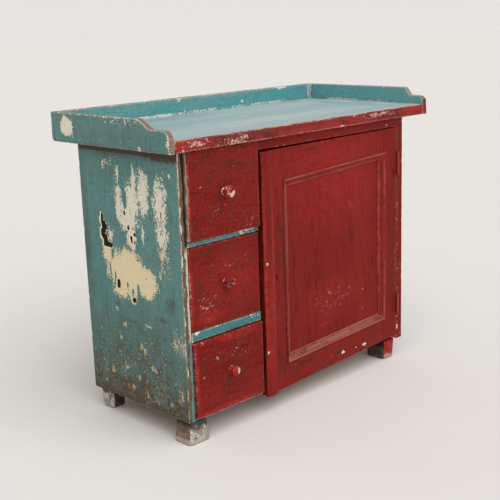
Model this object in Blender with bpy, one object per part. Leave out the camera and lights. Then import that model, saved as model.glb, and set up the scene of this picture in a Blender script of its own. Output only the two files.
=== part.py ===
"""Painted pine sideboard: three drawers on the left, one framed door on the right.

Units are metres, +Z up. The origin is on the floor, under the middle of the whole piece.
The front faces -Y. The door has racked with age: its stiles stand upright, but its rails
and panel run downhill towards the free edge.
"""

import math

import bmesh
import bpy
from mathutils import Matrix, Vector

# Fits
GAP = 0.0003                    # between pieces that touch
EDGE_ROUNDING = 0.0015          # worn arris on every board
WELD_DISTANCE = 0.00001         # points of a turned shape that meet on its axis
SMOOTH_ANGLE = math.radians(35)
DRAWER_REVEAL = 0.0015          # round a drawer front

# Carcass
CARCASS_WIDTH = 0.918
CARCASS_DEPTH = 0.417
CARCASS_HEIGHT = 0.716          # from the sides' lower ends to the underside of the top
LEFT_SIDE_THICKNESS = 0.021
RIGHT_SIDE_THICKNESS = 0.026
PARTITION_THICKNESS = 0.025
DRAWER_BAY_WIDTH = 0.255
BOTTOM_THICKNESS = 0.018
BACK_THICKNESS = 0.013
BACK_PLANK_COUNT = 3
FRIEZE_HEIGHT = 0.029

# Feet
FOOT_HEIGHT = 0.062
FOOT_TAPER = 0.003              # each side, from top to floor
FOOT_CORNER = 0.013             # upright corners, worn round
FOOT_CORNER_STEPS = 4
FOOT_ROUNDING = 0.006           # round the floor face
FOOT_ROUNDING_STEPS = 3
FRONT_LEFT_FOOT_WIDTH = 0.066
FRONT_LEFT_FOOT_DEPTH = 0.060
FRONT_LEFT_FOOT_SETBACK = 0.001
FRONT_LEFT_FOOT_FLARE = 0.005   # each side; this one spreads towards the floor
BACK_LEFT_FOOT_WIDTH = 0.055
BACK_LEFT_FOOT_DEPTH = 0.056
BACK_LEFT_FOOT_INSET = 0.012    # from the left side
BACK_LEFT_FOOT_SETBACK = 0.006  # from the back
RIGHT_FOOT_WIDTH = 0.058
RIGHT_FOOT_DEPTH = 0.080
RIGHT_FOOT_INSET = 0.023        # from the right side
RIGHT_FOOT_SETBACK = 0.008      # from the front, and from the back

# Top and gallery
OVERHANG_LEFT = 0.041
OVERHANG_RIGHT = 0.098
OVERHANG_FRONT = 0.021
OVERHANG_BACK = 0.058
TOP_THICKNESS = 0.032
GALLERY_HEIGHT = 0.081          # above the underside of the top
GALLERY_THICKNESS = 0.020
OGEE_DROP = 0.024               # of the S at each gallery end's front
LEFT_OGEE_START = 0.125         # from the front end
LEFT_OGEE_LENGTH = 0.062        # along the board
RIGHT_OGEE_START = 0.0765       # cut shorter than the left one
RIGHT_OGEE_LENGTH = 0.028
GALLERY_NOSE_RADIUS = 0.022
GALLERY_HEEL_RADIUS = 0.012     # lower back corner of a gallery end
OGEE_STEPS = 8

# Drawers
UPPER_RAIL_HEIGHT = 0.014
LOWER_RAIL_HEIGHT = 0.026
BOTTOM_RAIL_HEIGHT = 0.006
RAIL_DEPTH = 0.060
BOTTOM_RAIL_SETBACK = 0.003
MIDDLE_DRAWER_HEIGHT = 0.2225
LOWER_DRAWER_HEIGHT = 0.2095
TOP_DRAWER_PROUD = 0.009        # the top drawer doesn't push home
MIDDLE_DRAWER_PROUD = 0.0
LOWER_DRAWER_PROUD = 0.007
DRAWER_FRONT_THICKNESS = 0.020
DRAWER_SIDE_THICKNESS = 0.012
DRAWER_SIDE_DROP = 0.016        # sides end below the front's upper edge
DRAWER_BACK_THICKNESS = 0.012
DRAWER_BOTTOM_THICKNESS = 0.006
DRAWER_BOTTOM_LIFT = 0.009      # above the sides' lower edges
DRAWER_GROOVE = 0.005
DRAWER_BACK_ROOM = 0.032        # behind a drawer that is flush with the front
DRAWER_PLAY = 0.001             # box side inside the end of its front
RUNNER_WIDTH = 0.018
TAIL_COUNT = 4
TAIL_LENGTH = 0.013
TAIL_ROOT = 0.029
TAIL_SLOPE = 1.0 / 6.0

# Knobs
KNOB_HEAD_RADIUS = 0.0175
LOWEST_KNOB_HEAD_RADIUS = 0.0145   # a smaller one, put on later
KNOB_NECK_RADIUS = 0.0085
KNOB_COLLAR_RADIUS = 0.0120
KNOB_COLLAR_LENGTH = 0.004
KNOB_PROJECTION = 0.027
KNOB_HEAD_LENGTH = 0.015
KNOB_SPIGOT_RADIUS = 0.0060
KNOB_SPIGOT_LENGTH = 0.012
KNOB_SEGMENTS = 24
KNOB_HEAD_FROM = -60            # degrees on the head's round, from the neck to the flat front
KNOB_HEAD_TO = 80
KNOB_HEAD_STEPS = 8

# Door
DOOR_THICKNESS = 0.024
DOOR_LAP = 0.008                # over the partition's front edge
DOOR_RACK = math.radians(2.57)  # rails run downhill to the free edge
DOOR_TOP_REVEAL = 0.0015
DOOR_TOP_FALL = 0.004           # the upper edge was planed almost level
DOOR_BOTTOM_LIFT = 0.0137       # hinge end, above the sides' lower ends
LOCK_STILE_WIDTH = 0.088
HINGE_STILE_WIDTH = 0.0653
DOOR_TOP_RAIL_HEIGHT = 0.0725   # at the hinge end
DOOR_BOTTOM_RAIL_HEIGHT = 0.077
TENON_LENGTH = 0.030
TENON_THICKNESS = 0.008
TENON_SHOULDER = 0.014
PANEL_THICKNESS = 0.007
PANEL_RECESS = 0.011
PANEL_GROOVE = 0.008
MOULDING_LAP = 0.005            # over the frame's face
MOULDING_PROUD = 0.004
MOULDING_WIDTH = 0.018          # inside the frame's edge
MOULDING_FOOT_BEAD = 0.005      # width of the bead along its inner edge, on the panel
MOULDING_QUIRK = 0.0010         # thickness in the groove beside that bead
MOULDING_TOE = 0.0034           # thickness at the foot of its S
MOULDING_WAVE = 0.11            # depth of its S, as a share of its fall
MOULDING_STEPS = 6
MOULDING_BEAD_STEPS = 4
COVER_STRIP_WIDTH = 0.042
COVER_STRIP_PROUD = 0.010
COVER_STRIP_EDGE = 0.0053       # thickness along its edges
COVER_STRIP_STEPS = 6
COVER_STRIP_REACH = 0.012       # past the partition's drawer face

# Hinges
HINGE_HEIGHT = 0.070
HINGE_LOW = 0.085               # above the sides' lower ends
HINGE_HIGH = 0.540
HINGE_LEAF_WIDTH = 0.020
HINGE_LEAF_THICKNESS = 0.0014
HINGE_KNUCKLE_RADIUS = 0.0040
HINGE_PIN_RADIUS = 0.0018
HINGE_KNUCKLE_STANDOFF = 0.0005
HINGE_WEB_INSET = 0.00014       # keeps a knuckle's web inside the leaf's faces
HINGE_SEGMENTS = 20

# Lock
LOCK_WIDTH = 0.060
LOCK_HEIGHT = 0.052
LOCK_DEPTH = 0.020
LOCK_INSET = 0.013              # from the door's free edge
LOCK_LEVEL = 0.329              # keyhole, above the sides' lower ends
KEYHOLE_FROM_EDGE = 0.049
KEYHOLE_RADIUS = 0.0045
KEYHOLE_SLOT_WIDTH = 0.0050
KEYHOLE_SLOT_DROP = 0.014
KEYHOLE_STEPS = 12
BOLT_HEIGHT = 0.014
BOLT_THICKNESS = 0.006
BOLT_LENGTH = 0.036
BOLT_RISE = 0.012               # above the keyhole
BOLT_THROW = 0.013
BOLT_PLAY = 0.0006
BOLT_ROUNDING = 0.0008

# Shelf
SHELF_LEVEL = 0.350
SHELF_THICKNESS = 0.018
SHELF_SETBACK = 0.070
CLEAT_SIZE = 0.020

# Places worked out from the sizes above
DRAWER_REACH = max(TOP_DRAWER_PROUD, MIDDLE_DRAWER_PROUD, LOWER_DRAWER_PROUD) + KNOB_PROJECTION
FRONT_REACH = max(OVERHANG_FRONT, DRAWER_REACH, COVER_STRIP_PROUD)
LEFT = (OVERHANG_LEFT - CARCASS_WIDTH - OVERHANG_RIGHT) / 2
RIGHT = LEFT + CARCASS_WIDTH
FRONT = (FRONT_REACH - CARCASS_DEPTH - OVERHANG_BACK) / 2
BACK = FRONT + CARCASS_DEPTH
BASE = FOOT_HEIGHT
DECK = BASE + CARCASS_HEIGHT
BAY_LEFT = LEFT + LEFT_SIDE_THICKNESS
PARTITION_LEFT = BAY_LEFT + DRAWER_BAY_WIDTH
PARTITION_RIGHT = PARTITION_LEFT + PARTITION_THICKNESS
CUPBOARD_RIGHT = RIGHT - RIGHT_SIDE_THICKNESS
STOP_FACE = FRONT + DOOR_THICKNESS + GAP
BACK_FACE = BACK - BACK_THICKNESS
FLOOR_BOARD = BASE + BOTTOM_THICKNESS
DRAWER_DEPTH = BACK_FACE - DRAWER_BACK_ROOM - FRONT

BOTTOM_RAIL_TOP = BASE + BOTTOM_RAIL_HEIGHT
LOWER_RAIL_BOTTOM = BOTTOM_RAIL_TOP + LOWER_DRAWER_HEIGHT + 2 * DRAWER_REVEAL
LOWER_RAIL_TOP = LOWER_RAIL_BOTTOM + LOWER_RAIL_HEIGHT
UPPER_RAIL_BOTTOM = LOWER_RAIL_TOP + MIDDLE_DRAWER_HEIGHT + 2 * DRAWER_REVEAL
UPPER_RAIL_TOP = UPPER_RAIL_BOTTOM + UPPER_RAIL_HEIGHT
TOP_DRAWER_HEIGHT = DECK - UPPER_RAIL_TOP - 2 * DRAWER_REVEAL

HINGE_GAP = 2 * HINGE_LEAF_THICKNESS + 3 * GAP
DOOR_LEFT = PARTITION_RIGHT - DOOR_LAP
DOOR_RIGHT = CUPBOARD_RIGHT - HINGE_GAP
HINGE_AXIS_X = CUPBOARD_RIGHT - HINGE_GAP / 2
HINGE_AXIS_Y = FRONT - HINGE_KNUCKLE_RADIUS - HINGE_KNUCKLE_STANDOFF
DOOR_TOP = DECK - FRIEZE_HEIGHT - DOOR_TOP_REVEAL
DOOR_BOTTOM = BASE + DOOR_BOTTOM_LIFT
SIGHT_LEFT = DOOR_LEFT + LOCK_STILE_WIDTH
SIGHT_RIGHT = DOOR_RIGHT - HINGE_STILE_WIDTH
SIGHT_BOTTOM = DOOR_BOTTOM + DOOR_BOTTOM_RAIL_HEIGHT
SIGHT_TOP = DOOR_TOP - DOOR_TOP_RAIL_HEIGHT
PANEL_FRONT = FRONT + PANEL_RECESS
PANEL_BACK = PANEL_FRONT + PANEL_THICKNESS
LOCK_FRONT = FRONT + DOOR_THICKNESS + GAP
LOCK_LEFT = DOOR_LEFT + LOCK_INSET
LOCK_Z = BASE + LOCK_LEVEL
KEYHOLE_X = DOOR_LEFT + KEYHOLE_FROM_EDGE
BOLT_Z = LOCK_Z + BOLT_RISE
BOLT_Y = LOCK_FRONT + LOCK_DEPTH / 2


def clear_scene():
    for thing in list(bpy.data.objects):
        bpy.data.objects.remove(thing, do_unlink=True)


def finish(name, colour, roughness, metallic=0.0):
    """A plain material for one kind of surface."""
    material = bpy.data.materials.new(name)
    material.use_nodes = True
    shader = material.node_tree.nodes["Principled BSDF"]
    shader.inputs["Base Color"].default_value = (*colour, 1.0)
    shader.inputs["Roughness"].default_value = roughness
    shader.inputs["Metallic"].default_value = metallic
    return material


def joint_empty(name, place):
    """An empty on a joint's axis, which carries the pieces that move on it."""
    empty = bpy.data.objects.new(name, None)
    empty.location = place
    bpy.context.collection.objects.link(empty)
    return empty


def add_piece(name, shape, place, surface=None, carrier=None, round_piece=False):
    """Turn a bmesh, drawn about its own origin, into a named object at a place in the world."""
    bmesh.ops.recalc_face_normals(shape, faces=shape.faces)
    mesh = bpy.data.meshes.new(name)
    shape.to_mesh(mesh)
    shape.free()
    if round_piece:
        mesh.shade_smooth()
        mesh.set_sharp_from_angle(angle=SMOOTH_ANGLE)
    piece = bpy.data.objects.new(name, mesh)
    if surface:
        mesh.materials.append(surface)
    piece.location = Vector(place)
    if carrier:
        piece.parent = carrier
        piece.location -= carrier.location
    bpy.context.collection.objects.link(piece)
    return piece


def tool(name, shape, place=(0, 0, 0)):
    """A shape that only cuts or adds to another piece."""
    piece = add_piece(name, shape, place)
    piece.hide_render = True
    piece.display_type = 'WIRE'
    return piece


def combine(piece, other, operation):
    step = piece.modifiers.new(f"{operation.lower()} {other.name}", 'BOOLEAN')
    step.operation = operation
    step.object = other


def box_shape(low, high, rounding=0.0):
    """A box about its own centre; its edges are rounded where its thickness allows."""
    size = Vector(high) - Vector(low)
    shape = bmesh.new()
    bmesh.ops.create_cube(shape, size=1.0, matrix=Matrix.Diagonal((*size, 1.0)))
    width = min(rounding, min(size) / 4)
    if width > 0:
        bmesh.ops.bevel(shape, geom=shape.edges[:], affect='EDGES', offset=width, segments=1,
                        profile=0.5, material=-1)
    return shape


def middle(low, high):
    return (Vector(low) + Vector(high)) / 2


def board(name, low, high, surface, carrier=None, rounding=EDGE_ROUNDING):
    """A straight board between two corners."""
    return add_piece(name, box_shape(low, high, rounding), middle(low, high), surface, carrier)


def box_tool(name, low, high):
    return tool(name, box_shape(low, high), middle(low, high))


def prism_shape(outline, along, start, end):
    """Sweep a flat outline straight along X, Y or Z; its pairs are the other two axes in order."""
    axis = "XYZ".index(along)

    def corner(pair, level):
        place = list(pair)
        place.insert(axis, level)
        return place

    shape = bmesh.new()
    face = shape.faces.new([shape.verts.new(corner(pair, start)) for pair in outline])
    swept = bmesh.ops.extrude_face_region(shape, geom=[face])
    moved = [item for item in swept["geom"] if isinstance(item, bmesh.types.BMVert)]
    shift = [0.0, 0.0, 0.0]
    shift[axis] = end - start
    bmesh.ops.translate(shape, verts=moved, vec=shift)
    return shape


def cylinder_shape(radius, length, segments):
    shape = bmesh.new()
    bmesh.ops.create_cone(shape, cap_ends=True, segments=segments, radius1=radius, radius2=radius,
                          depth=length)
    return shape


def arc(centre, radius, start, end, steps):
    """Points on an arc, angles in degrees."""
    points = []
    for step in range(steps + 1):
        angle = math.radians(start + (end - start) * step / steps)
        points.append((centre[0] + radius * math.cos(angle), centre[1] + radius * math.sin(angle)))
    return points


def racked(x, z):
    """Height of a point on a racked line of the door, from its height at the hinge edge."""
    return z + (x - DOOR_RIGHT) * math.tan(DOOR_RACK)


def door_top(x):
    """The door's planed upper edge."""
    return DOOR_TOP - DOOR_TOP_FALL * (DOOR_RIGHT - x) / (DOOR_RIGHT - DOOR_LEFT)


def racked_box(x_low, x_high, y_low, y_high, z_low, z_high):
    """A block of the door between two racked lines."""
    outline = [(x_low, racked(x_low, z_low)), (x_high, racked(x_high, z_low)),
               (x_high, racked(x_high, z_high)), (x_low, racked(x_low, z_high))]
    return prism_shape(outline, "Y", y_low, y_high)


def make_carcass(teal, red, bare):
    board("left_side_panel", (LEFT, FRONT, BASE), (BAY_LEFT, BACK, DECK - GAP), teal)
    board("right_side_panel", (CUPBOARD_RIGHT, FRONT, BASE), (RIGHT, BACK, DECK - GAP), red)
    board("bottom_board", (BAY_LEFT + GAP, STOP_FACE, BASE),
          (CUPBOARD_RIGHT - GAP, BACK, FLOOR_BOARD), bare)
    partition = board("centre_partition", (PARTITION_LEFT, STOP_FACE, FLOOR_BOARD + GAP),
                      (PARTITION_RIGHT, BACK_FACE - GAP, DECK - GAP), bare)
    mortise = box_tool("bolt_mortise_cut",
                       (LOCK_LEFT - BOLT_THROW - BOLT_PLAY, BOLT_Y - BOLT_THICKNESS / 2 - BOLT_PLAY,
                        BOLT_Z - BOLT_HEIGHT / 2 - BOLT_PLAY),
                       (PARTITION_RIGHT + BOLT_THROW, BOLT_Y + BOLT_THICKNESS / 2 + BOLT_PLAY,
                        BOLT_Z + BOLT_HEIGHT / 2 + BOLT_PLAY))
    combine(partition, mortise, 'DIFFERENCE')

    plank = (CUPBOARD_RIGHT - BAY_LEFT - GAP) / BACK_PLANK_COUNT
    for number in range(BACK_PLANK_COUNT):
        plank_left = BAY_LEFT + GAP + number * plank
        board(f"back_plank_{number + 1}", (plank_left, BACK_FACE, FLOOR_BOARD + GAP),
              (plank_left + plank - GAP, BACK, DECK - GAP), bare)

    board("frieze_rail", (PARTITION_LEFT + GAP, FRONT, DECK - FRIEZE_HEIGHT),
          (CUPBOARD_RIGHT - GAP, STOP_FACE - GAP, DECK - GAP), red)
    rail_right = PARTITION_LEFT - GAP
    board("bottom_rail", (BAY_LEFT + GAP, FRONT + BOTTOM_RAIL_SETBACK, BASE),
          (rail_right, STOP_FACE - GAP, BOTTOM_RAIL_TOP), teal)
    levels = {"lower": (LOWER_RAIL_BOTTOM, LOWER_RAIL_TOP), "upper": (UPPER_RAIL_BOTTOM, UPPER_RAIL_TOP)}
    for name, (low, high) in levels.items():
        board(f"drawer_rail_{name}", (BAY_LEFT + GAP, FRONT, low),
              (rail_right, FRONT + RAIL_DEPTH, high), teal)
        runner_front = FRONT + RAIL_DEPTH + GAP
        board(f"runner_{name}_left", (BAY_LEFT + GAP, runner_front, low),
              (BAY_LEFT + GAP + RUNNER_WIDTH, BACK_FACE - GAP, high), bare)
        board(f"runner_{name}_right", (rail_right - RUNNER_WIDTH, runner_front, low),
              (rail_right, BACK_FACE - GAP, high), bare)


def make_feet(worn):
    """Blocks with rounded edges, set in from the corners; one spreads, the others taper."""
    right_foot = RIGHT - RIGHT_FOOT_INSET - RIGHT_FOOT_WIDTH
    places = {
        "foot_front_left": (LEFT, FRONT + FRONT_LEFT_FOOT_SETBACK,
                            FRONT_LEFT_FOOT_WIDTH, FRONT_LEFT_FOOT_DEPTH, FRONT_LEFT_FOOT_FLARE),
        "foot_back_left": (LEFT + BACK_LEFT_FOOT_INSET,
                           BACK - BACK_LEFT_FOOT_SETBACK - BACK_LEFT_FOOT_DEPTH,
                           BACK_LEFT_FOOT_WIDTH, BACK_LEFT_FOOT_DEPTH, -FOOT_TAPER),
        "foot_front_right": (right_foot, FRONT + RIGHT_FOOT_SETBACK,
                             RIGHT_FOOT_WIDTH, RIGHT_FOOT_DEPTH, -FOOT_TAPER),
        "foot_back_right": (right_foot, BACK - RIGHT_FOOT_SETBACK - RIGHT_FOOT_DEPTH,
                            RIGHT_FOOT_WIDTH, RIGHT_FOOT_DEPTH, -FOOT_TAPER),
    }
    height = FOOT_HEIGHT - GAP
    for name, (x, y, width, depth, spread) in places.items():
        shape = bmesh.new()
        bmesh.ops.create_cube(shape, size=1.0, matrix=Matrix.Diagonal((width, depth, height, 1.0)))
        lower = [vert for vert in shape.verts if vert.co.z < 0]
        for vert in lower:
            vert.co.x += math.copysign(1, vert.co.x) * spread
            vert.co.y += math.copysign(1, vert.co.y) * spread
        corners = [edge for edge in shape.edges if edge.verts[0].co.z * edge.verts[1].co.z < 0]
        bmesh.ops.bevel(shape, geom=corners, affect='EDGES', offset=FOOT_CORNER,
                        segments=FOOT_CORNER_STEPS, profile=0.5, material=-1)
        floor_edges = [edge for edge in shape.edges if all(vert.co.z < 0 for vert in edge.verts)]
        bmesh.ops.bevel(shape, geom=floor_edges, affect='EDGES', offset=FOOT_ROUNDING,
                        segments=FOOT_ROUNDING_STEPS, profile=0.5, material=-1)
        add_piece(name, shape, (x + width / 2, y + depth / 2, height / 2), worn)


def gallery_outline(ogee_start, ogee_length):
    """A gallery end seen from the side, as pairs of Y and Z: heel, nose, flat, ogee, level top."""
    front = FRONT - OVERHANG_FRONT
    back = BACK + OVERHANG_BACK
    top = DECK + GALLERY_HEIGHT
    shelf = top - OGEE_DROP
    heel = (back - GALLERY_HEEL_RADIUS, DECK + GALLERY_HEEL_RADIUS)
    outline = [(back, top), *arc(heel, GALLERY_HEEL_RADIUS, 0, -90, OGEE_STEPS), (front, DECK)]
    outline += reversed(arc((front + GALLERY_NOSE_RADIUS, shelf - GALLERY_NOSE_RADIUS), GALLERY_NOSE_RADIUS,
                            90, 180, OGEE_STEPS))
    for step in range(OGEE_STEPS + 1):
        share = step / OGEE_STEPS
        rise = OGEE_DROP * (1 - math.cos(math.pi * share)) / 2
        outline.append((front + ogee_start - ogee_length * (1 - share), shelf + rise))
    return outline


def make_top(grey, teal, red):
    left = LEFT - OVERHANG_LEFT
    right = RIGHT + OVERHANG_RIGHT
    back = BACK + OVERHANG_BACK
    inner_left = left + GALLERY_THICKNESS + GAP
    inner_right = right - GALLERY_THICKNESS - GAP
    inner_back = back - GALLERY_THICKNESS - GAP
    board("top_board", (inner_left, FRONT - OVERHANG_FRONT, DECK),
          (inner_right, inner_back, DECK + TOP_THICKNESS), grey)
    board("gallery_back", (inner_left, back - GALLERY_THICKNESS, DECK),
          (inner_right, back, DECK + GALLERY_HEIGHT), teal)
    ends = {"gallery_left": (left, LEFT_OGEE_START, LEFT_OGEE_LENGTH, teal),
            "gallery_right": (right - GALLERY_THICKNESS, RIGHT_OGEE_START, RIGHT_OGEE_LENGTH, red)}
    for name, (start, ogee_start, ogee_length, surface) in ends.items():
        outline = gallery_outline(ogee_start, ogee_length)
        shape = prism_shape(outline, "X", start, start + GALLERY_THICKNESS)
        add_piece(name, shape, (0, 0, 0), surface)


def knob_profile(head_radius):
    """Half outline of a turned knob as pairs of radius and distance out from the drawer front."""
    head_start = KNOB_PROJECTION - KNOB_HEAD_LENGTH
    half = KNOB_HEAD_LENGTH / 2
    profile = [(0.0, -KNOB_SPIGOT_LENGTH), (KNOB_SPIGOT_RADIUS, -KNOB_SPIGOT_LENGTH),
               (KNOB_SPIGOT_RADIUS, GAP), (KNOB_COLLAR_RADIUS, GAP),
               (KNOB_COLLAR_RADIUS, KNOB_COLLAR_LENGTH / 2), (KNOB_NECK_RADIUS, KNOB_COLLAR_LENGTH),
               (KNOB_NECK_RADIUS, head_start)]
    for across, along in arc((0.0, 0.0), 1.0, KNOB_HEAD_FROM, KNOB_HEAD_TO, KNOB_HEAD_STEPS):
        profile.append((head_radius * across, head_start + half + half * along))
    return profile + [(0.0, KNOB_PROJECTION)]


def make_knob(name, head_radius, place, surface, carrier):
    shape = bmesh.new()
    verts = [shape.verts.new((radius, -out, 0.0)) for radius, out in knob_profile(head_radius)]
    edges = [shape.edges.new(pair) for pair in zip(verts, verts[1:])]
    bmesh.ops.spin(shape, geom=verts + edges, cent=(0, 0, 0), axis=(0, 1, 0), angle=2 * math.pi,
                   steps=KNOB_SEGMENTS, use_merge=True)
    bmesh.ops.remove_doubles(shape, verts=shape.verts, dist=WELD_DISTANCE)
    add_piece(name, shape, place, surface, carrier, round_piece=True)


def tail_outlines(side_low, side_high, front_back, grow):
    """Dovetails on the front end of a drawer side, as outlines in Y and Z."""
    pitch = (side_high - side_low) / TAIL_COUNT
    flare = TAIL_LENGTH * TAIL_SLOPE
    outlines = []
    for number in range(TAIL_COUNT):
        centre = side_low + pitch * (number + 0.5)
        root = TAIL_ROOT / 2 + grow
        tip = root + flare
        tip_y = front_back - TAIL_LENGTH - grow
        outlines.append([(front_back + GAP, centre - root), (tip_y, centre - tip),
                         (tip_y, centre + tip), (front_back + GAP, centre + root)])
    return outlines


def side_outline(side_low, side_high, front_back, back):
    """A drawer side with its dovetails, going round from the lower back corner."""
    outline = [(back, side_low), (front_back + GAP, side_low)]
    for tail in tail_outlines(side_low, side_high, front_back, 0.0):
        outline += tail
    return outline + [(front_back + GAP, side_high), (back, side_high)]


def make_drawer(name, low, height, seat, proud, red, bare, knob_radius=KNOB_HEAD_RADIUS):
    """One drawer: front, two dovetailed sides, back, grooved bottom and knob, on its slide."""
    left = BAY_LEFT + DRAWER_REVEAL
    right = PARTITION_LEFT - DRAWER_REVEAL
    face = FRONT - proud
    front_back = face + DRAWER_FRONT_THICKNESS
    back = face + DRAWER_DEPTH
    side_low = seat + GAP
    side_high = low + height - DRAWER_SIDE_DROP
    slide = joint_empty(f"{name}_slide", ((left + right) / 2, face, low))

    front = board(f"{name}_front", (left, face, low), (right, front_back, low + height), red, slide)
    sides = []
    for end, outer, inward in (("left", left + DRAWER_PLAY, 1), ("right", right - DRAWER_PLAY, -1)):
        inner = outer + inward * DRAWER_SIDE_THICKNESS
        outline = side_outline(side_low, side_high, front_back, back)
        shape = prism_shape(outline, "X", outer, inner)
        sides.append(add_piece(f"{name}_side_{end}", shape, (0, 0, 0), bare, slide))
        beyond = outer - inward * 2 * DRAWER_PLAY
        for number, tail in enumerate(tail_outlines(side_low, side_high, front_back, GAP)):
            socket = tool(f"{name}_socket_{end}_{number}",
                          prism_shape(tail, "X", beyond, inner + inward * GAP))
            combine(front, socket, 'DIFFERENCE')

    inner_left = left + DRAWER_PLAY + DRAWER_SIDE_THICKNESS
    inner_right = right - DRAWER_PLAY - DRAWER_SIDE_THICKNESS
    bottom_low = side_low + DRAWER_BOTTOM_LIFT
    bottom_high = bottom_low + DRAWER_BOTTOM_THICKNESS
    tongue = DRAWER_GROOVE - GAP
    board(f"{name}_bottom", (inner_left - tongue, front_back - tongue, bottom_low),
          (inner_right + tongue, back, bottom_high), bare, slide, rounding=0.0)
    groove = box_tool(f"{name}_groove_cut",
                      (inner_left - DRAWER_GROOVE, front_back - DRAWER_GROOVE, bottom_low - GAP),
                      (inner_right + DRAWER_GROOVE, back + DRAWER_GROOVE, bottom_high + GAP))
    for piece in (front, *sides):
        combine(piece, groove, 'DIFFERENCE')
    board(f"{name}_back", (inner_left + GAP, back - DRAWER_BACK_THICKNESS, bottom_high + GAP),
          (inner_right - GAP, back, side_high), bare, slide)

    centre = ((left + right) / 2, face, low + height / 2)
    hole = cylinder_shape(KNOB_SPIGOT_RADIUS + GAP, 2 * (KNOB_SPIGOT_LENGTH + GAP), KNOB_SEGMENTS)
    bmesh.ops.rotate(hole, verts=hole.verts, cent=(0, 0, 0), matrix=Matrix.Rotation(math.pi / 2, 3, 'X'))
    combine(front, tool(f"{name}_knob_hole", hole, centre), 'DIFFERENCE')
    make_knob(f"{name}_knob", knob_radius, centre, red, slide)


def make_drawers(red, bare):
    make_drawer("drawer_bottom", BOTTOM_RAIL_TOP + DRAWER_REVEAL, LOWER_DRAWER_HEIGHT, FLOOR_BOARD,
                LOWER_DRAWER_PROUD, red, bare, LOWEST_KNOB_HEAD_RADIUS)
    make_drawer("drawer_middle", LOWER_RAIL_TOP + DRAWER_REVEAL, MIDDLE_DRAWER_HEIGHT, LOWER_RAIL_TOP,
                MIDDLE_DRAWER_PROUD, red, bare)
    make_drawer("drawer_top", UPPER_RAIL_TOP + DRAWER_REVEAL, TOP_DRAWER_HEIGHT, UPPER_RAIL_TOP,
                TOP_DRAWER_PROUD, red, bare)


def moulding_profile():
    """The door moulding in section, as pairs of distance inside the frame's edge and depth."""
    seat = PANEL_RECESS - GAP
    profile = [(GAP, -GAP), (-MOULDING_LAP, -GAP), (-MOULDING_LAP, -MOULDING_PROUD / 2)]
    bead = (-MOULDING_LAP / 2, -MOULDING_PROUD / 2)
    profile += arc(bead, MOULDING_LAP / 2, 180, 360, MOULDING_BEAD_STEPS)[1:]
    fall = seat - MOULDING_TOE + MOULDING_PROUD / 2
    slope = MOULDING_WIDTH - MOULDING_FOOT_BEAD
    for step in range(1, MOULDING_STEPS + 1):
        share = step / MOULDING_STEPS
        wave = MOULDING_WAVE * math.sin(2 * math.pi * share)
        profile.append((slope * share, -MOULDING_PROUD / 2 + fall * (share - wave)))
    foot = (slope + MOULDING_FOOT_BEAD / 2, seat - MOULDING_QUIRK)
    profile += arc(foot, MOULDING_FOOT_BEAD / 2, 180, 360, MOULDING_BEAD_STEPS)
    return profile + [(MOULDING_WIDTH, seat), (GAP, seat)]


def make_moulding(red, hinge):
    """Four lengths of moulding, mitred round the panel."""
    def corner(side_x, side_z, inset):
        x = SIGHT_LEFT + inset if side_x == "left" else SIGHT_RIGHT - inset
        z = SIGHT_BOTTOM + inset if side_z == "bottom" else SIGHT_TOP - inset
        return x, racked(x, z)

    ends = {"top": (("left", "top"), ("right", "top"), (1, 0)),
            "bottom": (("left", "bottom"), ("right", "bottom"), (1, 0)),
            "left": (("left", "bottom"), ("left", "top"), (0, 1)),
            "right": (("right", "bottom"), ("right", "top"), (0, 1))}
    for name, (first, last, along) in ends.items():
        shape = bmesh.new()
        loops = []
        for meeting, sign in ((first, 1), (last, -1)):
            loop = []
            for inset, depth in moulding_profile():
                x, z = corner(*meeting, inset)
                place_x = x + sign * GAP * along[0]
                place_z = z + sign * GAP * along[1]
                loop.append(shape.verts.new((place_x, FRONT + depth, place_z)))
            shape.faces.new(loop)
            loops.append(loop)
        count = len(loops[0])
        for index in range(count):
            following = (index + 1) % count
            shape.faces.new((loops[0][index], loops[0][following], loops[1][following], loops[1][index]))
        add_piece(f"door_moulding_{name}", shape, (0, 0, 0), red, hinge)


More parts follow.
